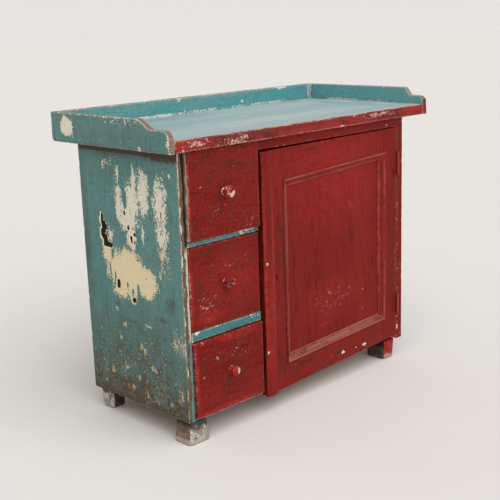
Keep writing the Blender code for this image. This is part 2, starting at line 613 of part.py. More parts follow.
def make_door_frame(red, hinge):
    """Stiles with mortises, rails with tenons, and a panel in a groove."""
    back = FRONT + DOOR_THICKNESS
    stile_spans = {"door_lock_stile": (DOOR_LEFT, SIGHT_LEFT),
                   "door_hinge_stile": (SIGHT_RIGHT, DOOR_RIGHT)}
    stiles = []
    for name, (left, right) in stile_spans.items():
        outline = [(left, racked(left, DOOR_BOTTOM)), (right, racked(right, DOOR_BOTTOM)),
                   (right, door_top(right)), (left, door_top(left))]
        stiles.append(add_piece(name, prism_shape(outline, "Y", FRONT, back), (0, 0, 0), red, hinge))

    rail_left = SIGHT_LEFT + GAP
    rail_right = SIGHT_RIGHT - GAP
    lower = racked_box(rail_left, rail_right, FRONT, back, DOOR_BOTTOM, SIGHT_BOTTOM)
    outline = [(rail_left, racked(rail_left, SIGHT_TOP)), (rail_right, racked(rail_right, SIGHT_TOP)),
               (rail_right, door_top(rail_right)), (rail_left, door_top(rail_left))]
    upper = prism_shape(outline, "Y", FRONT, back)
    rails = {"door_bottom_rail": (lower, DOOR_BOTTOM, SIGHT_BOTTOM),
             "door_top_rail": (upper, SIGHT_TOP, DOOR_TOP)}
    tenon_front = FRONT + (DOOR_THICKNESS - TENON_THICKNESS) / 2
    tenon_back = tenon_front + TENON_THICKNESS
    frame = list(stiles)
    for name, (shape, low, high) in rails.items():
        rail = add_piece(name, shape, (0, 0, 0), red, hinge)
        frame.append(rail)
        tenon_low = low + TENON_SHOULDER
        tenon_high = high - TENON_SHOULDER
        for stile, start, end in ((stiles[0], rail_left - TENON_LENGTH, rail_left + TENON_LENGTH),
                                  (stiles[1], rail_right - TENON_LENGTH, rail_right + TENON_LENGTH)):
            tenon = tool(f"{name}_{stile.name}_tenon",
                         racked_box(start, end, tenon_front, tenon_back, tenon_low, tenon_high))
            mortise = tool(f"{name}_{stile.name}_mortise",
                           racked_box(start - GAP, end + GAP, tenon_front - GAP, tenon_back + GAP,
                                      tenon_low - GAP, tenon_high + GAP))
            combine(rail, tenon, 'UNION')
            combine(stile, mortise, 'DIFFERENCE')

    tongue = PANEL_GROOVE - GAP
    panel = racked_box(SIGHT_LEFT - tongue, SIGHT_RIGHT + tongue, PANEL_FRONT, PANEL_BACK,
                       SIGHT_BOTTOM - tongue, SIGHT_TOP + tongue)
    add_piece("door_panel", panel, (0, 0, 0), red, hinge)
    groove = tool("panel_groove_cut", racked_box(SIGHT_LEFT - PANEL_GROOVE, SIGHT_RIGHT + PANEL_GROOVE,
                                                 PANEL_FRONT - GAP, PANEL_BACK + GAP,
                                                 SIGHT_BOTTOM - PANEL_GROOVE, SIGHT_TOP + PANEL_GROOVE))
    for piece in frame:
        combine(piece, groove, 'DIFFERENCE')
    return stiles[0]


def cut_keyhole(lock_stile):
    """A round hole over a slot, right through the lock stile."""
    slot_low = LOCK_Z - KEYHOLE_SLOT_DROP
    half = KEYHOLE_SLOT_WIDTH / 2
    swing = math.degrees(math.asin(half / KEYHOLE_RADIUS))
    outline = [(KEYHOLE_X - half, slot_low), (KEYHOLE_X + half, slot_low)]
    outline += arc((KEYHOLE_X, LOCK_Z), KEYHOLE_RADIUS, swing - 90, 270 - swing, KEYHOLE_STEPS)
    through = prism_shape(outline, "Y", FRONT - DOOR_THICKNESS, FRONT + 2 * DOOR_THICKNESS)
    cutter = tool("keyhole_cut", through)
    combine(lock_stile, cutter, 'DIFFERENCE')


def make_cover_strip(red, hinge):
    """A rounded strip nailed over the gap between door and drawers."""
    left = PARTITION_LEFT + COVER_STRIP_REACH
    right = left + COVER_STRIP_WIDTH
    back = FRONT - GAP
    swell = COVER_STRIP_PROUD - GAP - COVER_STRIP_EDGE
    outline = [(right, back), (left, back)]
    for step in range(COVER_STRIP_STEPS + 1):
        share = step / COVER_STRIP_STEPS
        thickness = COVER_STRIP_EDGE + swell * math.sin(math.pi * share)
        outline.append((left + COVER_STRIP_WIDTH * share, back - thickness))
    shape = prism_shape(outline, "Z", DOOR_BOTTOM, DOOR_TOP)
    half_way = (DOOR_BOTTOM + DOOR_TOP) / 2
    for vert in shape.verts:
        if vert.co.z > half_way:
            vert.co.z = door_top(vert.co.x)
        else:
            vert.co.z = racked(vert.co.x, DOOR_BOTTOM)
    add_piece("door_cover_strip", shape, (0, 0, 0), red, hinge)


def make_lock(iron, brass, hinge):
    """A case screwed behind the lock stile, open at its edge for the bolt."""
    case = board("lock_case", (LOCK_LEFT, LOCK_FRONT, LOCK_Z - LOCK_HEIGHT / 2),
                 (LOCK_LEFT + LOCK_WIDTH, LOCK_FRONT + LOCK_DEPTH, LOCK_Z + LOCK_HEIGHT / 2), iron, hinge)
    half = Vector((0, BOLT_THICKNESS / 2, BOLT_HEIGHT / 2))
    tip = Vector((LOCK_LEFT, BOLT_Y, BOLT_Z))
    tail = tip + Vector((BOLT_LENGTH, 0, 0))
    play = Vector((BOLT_PLAY, BOLT_PLAY, BOLT_PLAY))
    channel = box_tool("bolt_channel_cut", tip - half - play - Vector((BOLT_THROW, 0, 0)),
                       tail + half + play)
    combine(case, channel, 'DIFFERENCE')
    slide = joint_empty("lock_bolt_slide", tip)
    slide.parent = hinge
    slide.location = tip - hinge.location
    bolt = board("lock_bolt", tip - half, tail + half, brass, None, rounding=BOLT_ROUNDING)
    bolt.parent = slide
    bolt.location -= tip


def make_hinge(name, low, iron, hinge):
    """A butt hinge: the fixed leaf has the middle knuckle and the pin, the door leaf the end ones."""
    third = HINGE_HEIGHT / 3
    zones = [(low, low + third), (low + third, low + 2 * third), (low + 2 * third, low + HINGE_HEIGHT)]
    inner = GAP / 2
    outer = inner + HINGE_LEAF_THICKNESS
    start = HINGE_AXIS_Y + HINGE_KNUCKLE_RADIUS + GAP
    web_front = HINGE_AXIS_Y + HINGE_KNUCKLE_RADIUS / 2
    web_back = start + HINGE_LEAF_WIDTH / 4

    def leaf(label, sign, knuckles, carrier):
        x_low, x_high = sorted((HINGE_AXIS_X + sign * inner, HINGE_AXIS_X + sign * outer))
        plate = board(label, (x_low, start, low), (x_high, start + HINGE_LEAF_WIDTH, low + HINGE_HEIGHT),
                      iron, carrier, rounding=0.0)
        for number in knuckles:
            bottom, top = zones[number]
            bottom += GAP / 2
            top -= GAP / 2
            web = box_tool(f"{label}_web_{number}",
                           (x_low + HINGE_WEB_INSET, web_front, bottom + HINGE_WEB_INSET),
                           (x_high - HINGE_WEB_INSET, web_back, top - HINGE_WEB_INSET))
            combine(plate, web, 'UNION')
            knuckle = tool(f"{label}_knuckle_{number}",
                           cylinder_shape(HINGE_KNUCKLE_RADIUS, top - bottom, HINGE_SEGMENTS),
                           (HINGE_AXIS_X, HINGE_AXIS_Y, (bottom + top) / 2))
            combine(plate, knuckle, 'UNION')
        return plate

    axis_middle = (HINGE_AXIS_X, HINGE_AXIS_Y, low + HINGE_HEIGHT / 2)
    fixed = leaf(f"{name}_fixed_leaf", 1, (1,), None)
    pin = tool(f"{name}_pin", cylinder_shape(HINGE_PIN_RADIUS, HINGE_HEIGHT, HINGE_SEGMENTS),
               axis_middle)
    combine(fixed, pin, 'UNION')
    moving = leaf(f"{name}_door_leaf", -1, (0, 2), hinge)
    bore = tool(f"{name}_bore", cylinder_shape(HINGE_PIN_RADIUS + GAP, 2 * HINGE_HEIGHT, HINGE_SEGMENTS),
                axis_middle)
    combine(moving, bore, 'DIFFERENCE')


def make_door(red, iron, brass):
    hinge = joint_empty("door_hinge_axis", (HINGE_AXIS_X, HINGE_AXIS_Y, BASE))
    lock_stile = make_door_frame(red, hinge)
    cut_keyhole(lock_stile)
    make_moulding(red, hinge)
    make_cover_strip(red, hinge)
    make_lock(iron, brass, hinge)
    make_hinge("hinge_lower", BASE + HINGE_LOW, iron, hinge)
    make_hinge("hinge_upper", BASE + HINGE_HIGH, iron, hinge)


def make_shelf(bare):
    level = BASE + SHELF_LEVEL
    front = FRONT + SHELF_SETBACK
    back = BACK_FACE - GAP
    board("shelf", (PARTITION_RIGHT + GAP, front, level),
          (CUPBOARD_RIGHT - GAP, back, level + SHELF_THICKNESS), bare)
    cleat_low = level - GAP - CLEAT_SIZE
    board("shelf_cleat_left", (PARTITION_RIGHT + GAP, front, cleat_low),
          (PARTITION_RIGHT + GAP + CLEAT_SIZE, back, level - GAP), bare)
    board("shelf_cleat_right", (CUPBOARD_RIGHT - GAP - CLEAT_SIZE, front, cleat_low),
          (CUPBOARD_RIGHT - GAP, back, level - GAP), bare)


def main():
    clear_scene()
    teal = finish("teal_paint", (0.085, 0.225, 0.235), 0.55)
    red = finish("red_paint", (0.235, 0.022, 0.022), 0.50)
    grey = finish("worn_top_paint", (0.42, 0.47, 0.46), 0.55)
    bare = finish("bare_pine", (0.36, 0.23, 0.12), 0.70)
    worn = finish("worn_foot", (0.30, 0.27, 0.24), 0.80)
    iron = finish("hinge_iron", (0.10, 0.06, 0.055), 0.60, 0.8)
    brass = finish("lock_brass", (0.45, 0.30, 0.10), 0.40, 1.0)
    make_carcass(teal, red, bare)
    make_feet(worn)
    make_top(grey, teal, red)
    make_drawers(red, bare)
    make_door(red, iron, brass)
    make_shelf(bare)


main()
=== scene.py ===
"""Painted sideboard: old paint, bare pine and iron on the solids, with a floor, light and camera.

Laid out as an add-on and run as a script. Units are metres, +Z up, and the front faces -Y.
"""

import math
from typing import NamedTuple

import bmesh
import bpy
import numpy as np
from bpy.props import FloatProperty, FloatVectorProperty, PointerProperty
from mathutils import Matrix, Vector, noise


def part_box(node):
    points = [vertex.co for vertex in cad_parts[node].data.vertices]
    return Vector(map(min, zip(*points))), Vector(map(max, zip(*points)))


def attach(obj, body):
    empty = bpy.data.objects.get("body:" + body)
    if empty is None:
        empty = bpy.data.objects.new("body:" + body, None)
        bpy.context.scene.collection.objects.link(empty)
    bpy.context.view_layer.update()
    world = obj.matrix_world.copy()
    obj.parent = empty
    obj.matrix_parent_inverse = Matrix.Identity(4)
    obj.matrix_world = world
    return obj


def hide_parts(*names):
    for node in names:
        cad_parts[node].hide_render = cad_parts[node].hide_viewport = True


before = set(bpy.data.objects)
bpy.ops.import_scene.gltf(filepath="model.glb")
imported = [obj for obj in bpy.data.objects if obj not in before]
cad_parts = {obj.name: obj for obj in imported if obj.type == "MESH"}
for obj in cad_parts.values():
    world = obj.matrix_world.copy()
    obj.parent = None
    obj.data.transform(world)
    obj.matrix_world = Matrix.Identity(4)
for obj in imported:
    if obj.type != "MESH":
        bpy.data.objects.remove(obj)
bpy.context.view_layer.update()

bl_info = {
    "name": "Painted sideboard",
    "version": (1, 1, 0),
    "blender": (4, 5, 0),
    "location": "3D View > Sidebar > Sideboard",
    "description": "Dresses the solids of a sideboard in worn paint, bare pine and old iron",
    "category": "Object",
}

# Faces and their marks
LEFT_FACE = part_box("left_side_panel")[0].x
FRONT_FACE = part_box("left_side_panel")[0].y
FACE_DEPTH = 0.026  # how far in front of or behind a face its marks still count
KNOB_DEPTH = 0.012
CREST_DEPTH = 0.048
FACE_TURN = 0.3  # how squarely a surface looks along with the face
MM_PER_METRE = 1000.0

# Mesh work
WELD = 0.00001
FLAT_ANGLE = math.radians(0.5)
SHARP_ANGLE = math.radians(38)
SMOOTH_ANGLE = math.radians(50)
SQUARE_ON = 0.7  # how squarely a face looks a way that it counts for
ANY_WAY = -2.0  # below every cosine
ROUND_STEPS = 3
RIM_STEPS = 2
BOARD_ROUNDINGS = 4  # how many go across a board at the least
SUPPORT = 0.0018  # a close cut beside each rounded arris keeps the flat faces flat
SHORT_ARRIS = 12  # in roundings: shorter arrises stay sharp
ALL_AXES = (2, 1, 0)

# Wear of the mesh
ARRIS_SPAN = 0.04  # distance from an arris that the wear values can tell apart
BROAD_WAVES = 14.0  # unevenness and dents, in waves per metre
DENT_WAVES = 65.0
DENT_START = 0.15
DENT_REACH = 3  # in roundings
GOUGE_DEPTH = 0.0035
GOUGE_LOSS = 1.5  # loss of paint from which the wood is gouged too
MOULDING_NICK = 0.1  # share of the usual dents that the mouldings have
FOOT_WOBBLE = 2  # times the usual unevenness
FRIEZE_DIRT = 0.2

# Gallery ends: start and length of each ogee, and the curves that both have
OGEES = {"gallery_left": (0.125, 0.062), "gallery_right": (0.0765, 0.028)}
OGEE_DROP = 0.024
NOSE_RADIUS = 0.022
HEEL_RADIUS = 0.012
CURVE_STEPS = 18

# Knobs
KNOB_PROJECTION = 0.027
KNOB_HEAD_LENGTH = 0.015
KNOB_NECK_RADIUS = 0.0085
KNOB_COLLAR_RADIUS = 0.012
KNOB_COLLAR_LENGTH = 0.004
KNOB_SPIGOT_RADIUS = 0.006
KNOB_BACK = -60  # degrees from the head's rim to its neck, and from there to its middle
KNOB_SWEEP = 150
KNOB_SEGMENTS = 48
KNOB_STEPS = 16

# Nail through the cover strip
NAIL_ACROSS = -0.192
NAIL_UP = 0.436
NAIL_RADIUS = 0.0042
NAIL_RISE = 0.0013
NAIL_SINK = 0.0006
NAIL_DOME = ((1.0, 1 / 3), (0.75, 0.85), (0.0, 1.0))  # shares of the radius and of the rise

# Left side's front edge: heights at which its look changes, and its bands
EDGE_TEAL_TOP = 0.29
EDGE_PALE_TOP = 0.535
EDGE_CREAM_WIDTH = 0.0045
EDGE_WOOD_WIDTH = 0.0125

SENSOR_WIDTH = 36.0
FLOOR_HALF = 40.0

LEFTWARD = Vector((-1, 0, 0))
RIGHTWARD = Vector((1, 0, 0))
FRONTWARD = Vector((0, -1, 0))
BACKWARD = Vector((0, 1, 0))
UPWARD = Vector((0, 0, 1))
DOWNWARD = Vector((0, 0, -1))

# Stretches of a noise
EVEN = (1, 1, 1)
ALONG_X = (0.14, 1, 1)
ALONG_Z = (1, 1, 0.12)


class Spot(NamedTuple):
    """A mark on one face: its middle and reach along the face's two axes in millimetres, its strength, and
    how firm it ends."""
    across: float
    up: float
    reach_across: float
    reach_up: float
    strength: float
    firm: float = 1.0


class Marks(NamedTuple):
    """The marks of one face of a solid, as rows of a Spot's values: lost paint, grime and painted shade, and
    rubbed places and painted light.
    """
    node: str
    way: Vector
    loss: tuple = ()
    dirt_and_shade: tuple = ()
    rubbed: tuple = ()
    depth: float = FACE_DEPTH

    def face(self):
        """The axis that the face looks along, and its level on it."""
        axis = [abs(part) for part in self.way].index(1.0)
        low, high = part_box(self.node)
        return axis, (high if self.way[axis] > 0 else low)[axis]


# Left side, across in Y and up in Z
LEFT_MARKS = Marks(
    "left_side_panel", LEFTWARD,
    loss=(
        # The large cream patch
        (52, 448, 78, 75, 0.86), (-5, 435, 90, 90, 1.2), (-65, 420, 70, 56, 1.1), (88, 475, 48, 42, 0.78),
        (34, 390, 66, 42, 0.92), (-75, 395, 40, 32, 0.9), (-35, 392, 7, 30, -0.9), (82, 440, 5, 22, -0.7),
        (62, 415, 5, 18, -0.6), (10, 402, 6, 12, -0.8), (-12, 388, 8, 9, -0.8), (-70, 432, 10, 6, -0.7),
        (68, 478, 6, 18, -0.6),
        # The middle streaks above it
        (-18, 535, 33, 56, 0.82), (-10, 585, 64, 56, 0.86), (-30, 635, 47, 76, 0.88),
        (25, 622, 27, 76, 0.82), (1, 640, 10, 30, -0.6), (-42, 690, 14, 64, 0.82), (-74, 655, 40, 88, 0.82),
        (-72, 710, 20, 30, 0.7), (-96, 700, 10, 30, 0.66), (-68, 552, 10, 50, 0.74),
        (28, 704, 18, 60, 0.58), (-40, 600, 190, 200, 0.24),
        # The front streak
        (-145, 640, 42, 96, 0.84), (-146, 560, 38, 84, 0.78), (-150, 510, 28, 35, 0.72),
        (-145, 715, 35, 40, 0.42), (-150, 465, 55, 45, 0.42),
        # Small marks near the top
        (87, 722, 12, 24, 0.7), (61, 731, 34, 22, 0.48), (-186, 716, 10, 10, 0.8),
        # The gouge and the dark chips
        (110, 568, 8, 26, 2.6, 2.5), (99, 552, 10, 20, 2.6, 2.5), (109, 532, 12, 22, 2.6, 2.5),
        (98, 514, 13, 20, 2.6, 2.5), (88, 502, 26, 10, 2.6, 2.5), (74, 530, 26, 46, 0.62),
        (8, 600, 6, 9, 2.5, 3), (-7, 561, 6, 9, 2.5, 3), (-31, 545, 6, 9, 2.5, 3),
        (-17, 531, 6, 11, 2.5, 3), (-144, 611, 5, 12, 2.5, 3), (52, 398, 10, 16, 2.5, 3),
        (-12, 362, 10, 11, 2.5, 3),
        # Chips over the lower half
        (0, 20, 600, 380, 0.36), (-190, 280, 50, 60, 0.5), (-190, 130, 40, 90, 0.4),
        (-110, 90, 60, 30, 0.44), (66, 325, 12, 8, 0.7), (-48, 223, 14, 18, 0.66), (-90, 180, 12, 16, 0.62),
        (-52, 165, 14, 30, 0.56), (34, 285, 18, 12, 0.66), (-70, 300, 26, 6, 0.86),
        (-36, 236, 10, 16, 0.74), (35, 160, 16, 8, 0.7), (-78, 183, 8, 14, 0.76), (-20, 140, 10, 20, 0.68),
        (12, 107, 10, 14, 0.8), (-97, 94, 14, 14, 0.64), (-51, 98, 10, 16, 0.76), (-196, 129, 9, 16, 0.66),
        (103, 135, 12, 12, 0.7), (137, 97, 10, 12, 0.72), (55, 243, 8, 12, 0.7), (-150, 98, 12, 16, 0.7),
    ),
    dirt_and_shade=(
        (185, 400, 30, 400, 0.6), (0, 40, 550, 340, 1.05), (0, 50, 600, 130, 1.9), (0, 60, 600, 30, 2.6),
        # Painted shade: the dark band at the top of the side, under the overhang of the gallery and top,
        # deeper towards the front
        (0, 778, 600, 36, 0.9), (0, 777, 600, 18, 5, 2.5), (-190, 772, 150, 26, 3, 1.2),
        (-166, 372, 32, 30, 0.8), (-120, 330, 50, 14, 0.75), (10, 300, 60, 9, 0.95), (60, 338, 26, 8, 0.95),
        (0, 270, 120, 30, 0.6), (165, 90, 45, 60, 0.85),
    ),
    rubbed=(
        (-207, 263, 20, 30, 0.9),
    ),
)

# Right side, across in Y and up in Z
RIGHT_MARKS = Marks(
    "right_side_panel", RIGHTWARD,
    loss=(
        (0, 20, 600, 300, 0.36), (60, 610, 24, 90, 0.6), (20, 560, 50, 40, 0.5), (-120, 350, 30, 50, 0.6),
        (150, 240, 26, 20, 0.66), (-190, 300, 30, 300, 0.3),
    ),
    dirt_and_shade=(
        # Painted shade: the dark band at the top of the side, under the overhang of the gallery and top
        (0, 40, 550, 300, 0.9), (0, 50, 600, 120, 1.5), (0, 768, 600, 22, 4, 1.2), (185, 400, 30, 400, 0.6),
    ),
)

# Front, across in X and up in Z
FRONT_MARKS = Marks(
    "left_side_panel", FRONTWARD,
    loss=(
        # Edge of the top
        (-300, 797, 125, 16, 0.47), (-315, 785, 80, 7, 0.62), (-403, 802, 14, 7, 0.8),
        (-268, 796, 18, 8, 0.8), (-440, 797, 60, 13, 0.62), (300, 798, 150, 13, 0.5),
        (-483, 784, 10, 6, 0.8), (0, 807, 500, 7, 0.34), (120, 782, 14, 5, 0.7), (188, 783, 12, 5, 0.6),
        (352, 759, 10, 5, 0.7),
        # Drawers, from the top
        (-463, 660, 4, 130, 0.46), (-463, 420, 5, 120, 0.48), (-463, 175, 4, 120, 0.4),
        (-250, 570, 40, 30, 0.36), (-330, 460, 100, 30, 0.28), (-421, 684, 6, 6, 0.8),
        (-306, 719, 6, 10, 0.8), (-368, 618, 8, 5, 0.74), (-420, 371, 18, 24, 0.46),
        (-377, 382, 20, 14, 0.46), (-412, 361, 10, 6, 0.72), (-264, 442, 8, 6, 0.6), (-437, 179, 7, 6, 0.8),
        (-403, 219, 7, 6, 0.76), (-388, 221, 7, 6, 0.76), (-315, 228, 7, 6, 0.76), (-435, 272, 14, 7, 0.62),
        # Drawer rails
        (-265, 541, 55, 8, 0.5), (-448, 301, 11, 7, 0.8), (-232, 298, 22, 8, 0.58),
        # Door
        (135, 89, 11, 6, 1.05, 2), (238, 87, 14, 4, 0.95, 2), (198, 88, 7, 5, 0.8), (-192, 181, 6, 8, 0.8),
        (405, 102, 6, 10, 0.85, 2), (244, 203, 5, 10, 0.8), (245, 263, 7, 6, 0.66), (87, 197, 12, 6, 0.66),
        (144, 260, 36, 5, 0.52), (110, 275, 140, 60, 0.3), (395, 420, 8, 320, 0.28),
        (-410, 365, 60, 55, 0.34), (-330, 225, 110, 40, 0.26), (-350, 620, 90, 30, 0.22),
    ),
    dirt_and_shade=(
        (110, 255, 130, 70, 0.34), (365, 300, 30, 140, 0.3), (-114, 420, 22, 330, 0.5),
        (-145.5, 391, 12, 24, 0.8), (-154, 412, 6, 26, 0.9), (-180, 420, 8, 360, 0.55),
        (372, 420, 6, 300, 0.45), (-360, 735, 120, 50, 0.36), (-330, 190, 70, 70, 0.26),
        (-443, 579, 10, 10, 0.9, 2), (-358, 614, 12, 7, 0.9, 2), (-218, 538, 12, 14, 1, 2),
        (-350, 799, 16, 8, 0.85, 2), (-260, 797, 150, 16, 0.5), (-232, 800, 18, 7, 0.85, 2),
        (-185, 791, 16, 7, 0.8, 2), (-100, 800, 300, 8, 0.4), (300, 790, 160, 10, 0.4),
        (522, 812, 30, 36, 0.75),
    ),
    rubbed=(
        (-461, 660, 6, 130, 0.9), (-461, 420, 9, 120, 0.85), (-461, 175, 10, 120, 0.85),
        (-340, 74, 150, 12, 0.8), (-310, 268, 90, 14, 0.6), (-400, 335, 60, 24, 0.6),
        (-310, 420, 110, 100, 0.32), (330, 671, 40, 10, 0.8), (342, 400, 12, 300, 0.45),
        # (-470, 797): painted highlight on the left end of the top's front edge
        (-470, 797, 70, 14, 0.85), (470, 796, 80, 22, 0.8), (250, 784, 130, 8, 0.7), (-86, 786, 80, 8, 0.6),
        (65, 196, 30, 6, 0.85), (100, 240, 100, 50, 0.3), (187, 537, 10, 30, 0.8),
        # (110, 670): painted sheen, lighter red over the upper door panel
        (110, 670, 320, 230, 0.42), (150, 262, 40, 7, 0.95), (30, 266, 24, 6, 0.7),
        (-163, 420, 8, 360, 0.85), (-182, 270, 18, 220, 0.6), (110, 275, 150, 70, 0.38),
        (-197, 400, 7, 360, 0.95),
    ),
)

# Top, across in X and up in Y
TOP_MARKS = Marks(
    "top_board", UPWARD,
    loss=(
        (0, 229, 620, 13, 0.58), (-170, 231, 90, 14, 0.72), (470, 60, 18, 110, 0.66),
        (471, -100, 14, 80, 0.58), (440, 195, 55, 26, 0.5), (-20, 14, 26, 10, 0.52),
        (-245, -40, 70, 16, 0.4),
    ),
    rubbed=(
        (-200, 170, 250, 90, 0.75), (-450, 100, 60, 240, 0.75), (-330, 0, 200, 240, 0.35),
        (430, 0, 60, 220, 0.45),
    ),
)

# Crest of the gallery, across in X and up in Y
CREST_MARKS = Marks(
    "gallery_left", UPWARD,
    rubbed=(
        (-520, -130, 30, 180, 1, 2),
    ),
    depth=CREST_DEPTH,
)

# Gallery: outside of the left end, then inside of the back and of the right end
GALLERY_LEFT_MARKS = Marks(
    "gallery_left", LEFTWARD,
    loss=(
        (184, 822, 36, 32, 1.1, 1.5), (-126, 785, 12, 12, 0.76), (-70, 846, 110, 16, 0.38),
        (-237, 806, 11, 40, 0.48), (0, 858, 500, 8, 0.34),
    ),
    dirt_and_shade=(
        (0, 778, 600, 10, 0.5), (-50, 800, 200, 50, 0.22),
    ),
)
GALLERY_BACK_MARKS = Marks(
    "gallery_back", FRONTWARD,
    loss=(
        (0, 811.5, 620, 5, 0.66), (-170, 812, 110, 6, 0.95), (300, 812, 130, 6, 0.8),
        (369, 856, 40, 10, 0.7), (-85, 853, 26, 9, 0.62), (185, 827, 8, 8, 0.76), (505, 835, 8, 60, 0.8),
        (-60, 821, 14, 9, 0.62),
    ),
)
GALLERY_RIGHT_MARKS = Marks(
    "gallery_right", LEFTWARD,
    loss=(
        (0, 809.5, 250, 6, 0.84), (80, 810, 130, 7, 1), (231, 835, 10, 60, 0.95), (190, 840, 60, 20, 0.26),
    ),
    dirt_and_shade=(
        (231, 835, 10, 60, 0.9),
    ),
    rubbed=(
        # Painted light: lighter teal on the inside of the right end, which faces away from the lamp
        (0, 830, 300, 60, 0.55),
    ),
)

# Fronts of the knobs, across in X and up in Z
KNOB_MARKS = Marks(
    "drawer_middle_knob", FRONTWARD,
    loss=(
        # (-332, 175): cream worn spot on the bottom knob's right, which also stands for a painted highlight
        (-331, 654, 13, 12, 1, 2), (-332, 416, 11, 10, 0.62), (-332, 175, 8, 10, 1.3, 2),
    ),
    dirt_and_shade=(
        (-343, 418, 12, 14, 0.6),
    ),
    rubbed=(
        (-350, 664, 10, 16, 0.95), (-345, 174, 12, 16, 0.95),
    ),
    depth=KNOB_DEPTH,
)
ALL_MARKS = (LEFT_MARKS, RIGHT_MARKS, FRONT_MARKS, TOP_MARKS, CREST_MARKS, GALLERY_LEFT_MARKS,
             GALLERY_BACK_MARKS, GALLERY_RIGHT_MARKS, KNOB_MARKS)


def tint(name, description, *default):
    """A colour that a user would change."""
    return FloatVectorProperty(name=name, description=description, subtype='COLOR', size=3,
                               min=0.0, max=1.0, default=default)


def span(name, description, default, low, high):
    """A length that a user would change."""
    return FloatProperty(name=name, description=description, unit='LENGTH', default=default,
                         min=low, max=high)


def tilt(name, description, degrees):
    """An angle that a user would change."""
    return FloatProperty(name=name, description=description, unit='ROTATION',
                         default=math.radians(degrees))


class SideboardPaint(bpy.types.PropertyGroup):
    """Colours of the finishes."""
    teal: tint("Teal", "Paint of the sides", 0.09, 0.238, 0.228)
    rail_teal: tint("Rail teal", "Fresher paint of the drawer rails", 0.045, 0.19, 0.205)
    gallery_teal: tint("Gallery teal", "Paint inside the gallery", 0.085, 0.32, 0.335)
    red: tint("Red", "Paint of the drawers and the door", 0.19, 0.011, 0.008)
    # Rubbed red also colours painted light: the sheen on the door panel and the highlight on the top's front
    # edge
    rubbed_red: tint("Rubbed red", "Red paint where it has been rubbed", 0.43, 0.028, 0.024)
    top: tint("Top", "Thin grey-blue paint of the top", 0.272, 0.4, 0.412)
    undercoat: tint("Undercoat", "Pale coat under the paint", 0.8, 0.745, 0.6)
    low_undercoat: tint("Lower undercoat", "Warmer coat on the lower half", 0.8, 0.67, 0.43)
    wood: tint("Bare wood", "Old wood where all paint has gone", 0.18, 0.105, 0.06)
    # Grime also colours the painted shade under the top's overhang
    grime_and_shade: tint("Grime", "Dirt in corners and near the floor", 0.07, 0.046, 0.026)
    pine: tint("Pine", "Unpainted boards inside", 0.42, 0.27, 0.135)
    iron: tint("Iron", "Lock case", 0.075, 0.058, 0.05)
    brass: tint("Brass", "Bolt of the lock", 0.43, 0.3, 0.11)


class SideboardWear(bpy.types.PropertyGroup):
    """How far the boards have worn."""
    rounding: span("Rounding", "Radius of a worn arris", 0.0026, 0.0005, 0.006)
    wobble: span("Wobble", "Unevenness of a face", 0.0005, 0.0, 0.003)
    nick: span("Nick", "Depth of a dent in an arris", 0.0022, 0.0, 0.006)
    grid: span("Grid", "Mesh spacing on a worn face", 0.005, 0.003, 0.05)


class SideboardStage(bpy.types.PropertyGroup):
    """Floor, light and camera."""
    floor: tint("Floor", "Colour of the floor", 0.8, 0.775, 0.75)
    ambient: FloatProperty(name="Ambient", description="Light from all round", default=0.46, min=0.0)
    key_strength: FloatProperty(name="Key light", description="Strength of the broad soft lamp",
                                default=2.2, min=0.0)
    key_spread: tilt("Key spread", "Breadth of the lamp as it is seen", 75)
    key_from: FloatVectorProperty(name="Key from", description="The way to the lamp", subtype='XYZ',
                                  default=(-0.15, -0.6, 0.79))
    eye: FloatVectorProperty(name="Camera", description="Place of the camera", subtype='TRANSLATION',
                             unit='LENGTH', default=(-2.0065, -2.02, 1.1061))
    yaw: tilt("Yaw", "Camera's turn from +Y towards +X", 44.35)
    pitch: tilt("Pitch", "Camera's tilt below level", 13.84)
    roll: tilt("Roll", "Camera's lean", -1.92)
    lens: FloatProperty(name="Lens", description="Focal length on a 36 mm sensor, in millimetres",
                        default=69.62, min=1.0)


class Nodes:
    """A node tree that grows with short calls."""

    def __init__(self, tree):
        self.tree = tree

    def add(self, kind, inputs=(), **settings):
        """A shader node with its settings, and its inputs by name or number."""
        node = self.tree.nodes.new(f"ShaderNode{kind}")
        for key, value in settings.items():
            setattr(node, key, value)
        self.feed(node, inputs)
        return node

    def feed(self, node, inputs):
        """Link each input to a socket, or set a plain value on it."""
        for key, value in dict(inputs).items():
            socket = node.inputs[key]
            if isinstance(value, bpy.types.NodeSocket):
                self.tree.links.new(value, socket)
            else:
                socket.default_value = (*value, 1.0) if socket.type == 'RGBA' else value

    def calc(self, operation, first, second=0.0):
        return self.add("Math", {0: first, 1: second}, operation=operation).outputs[0]


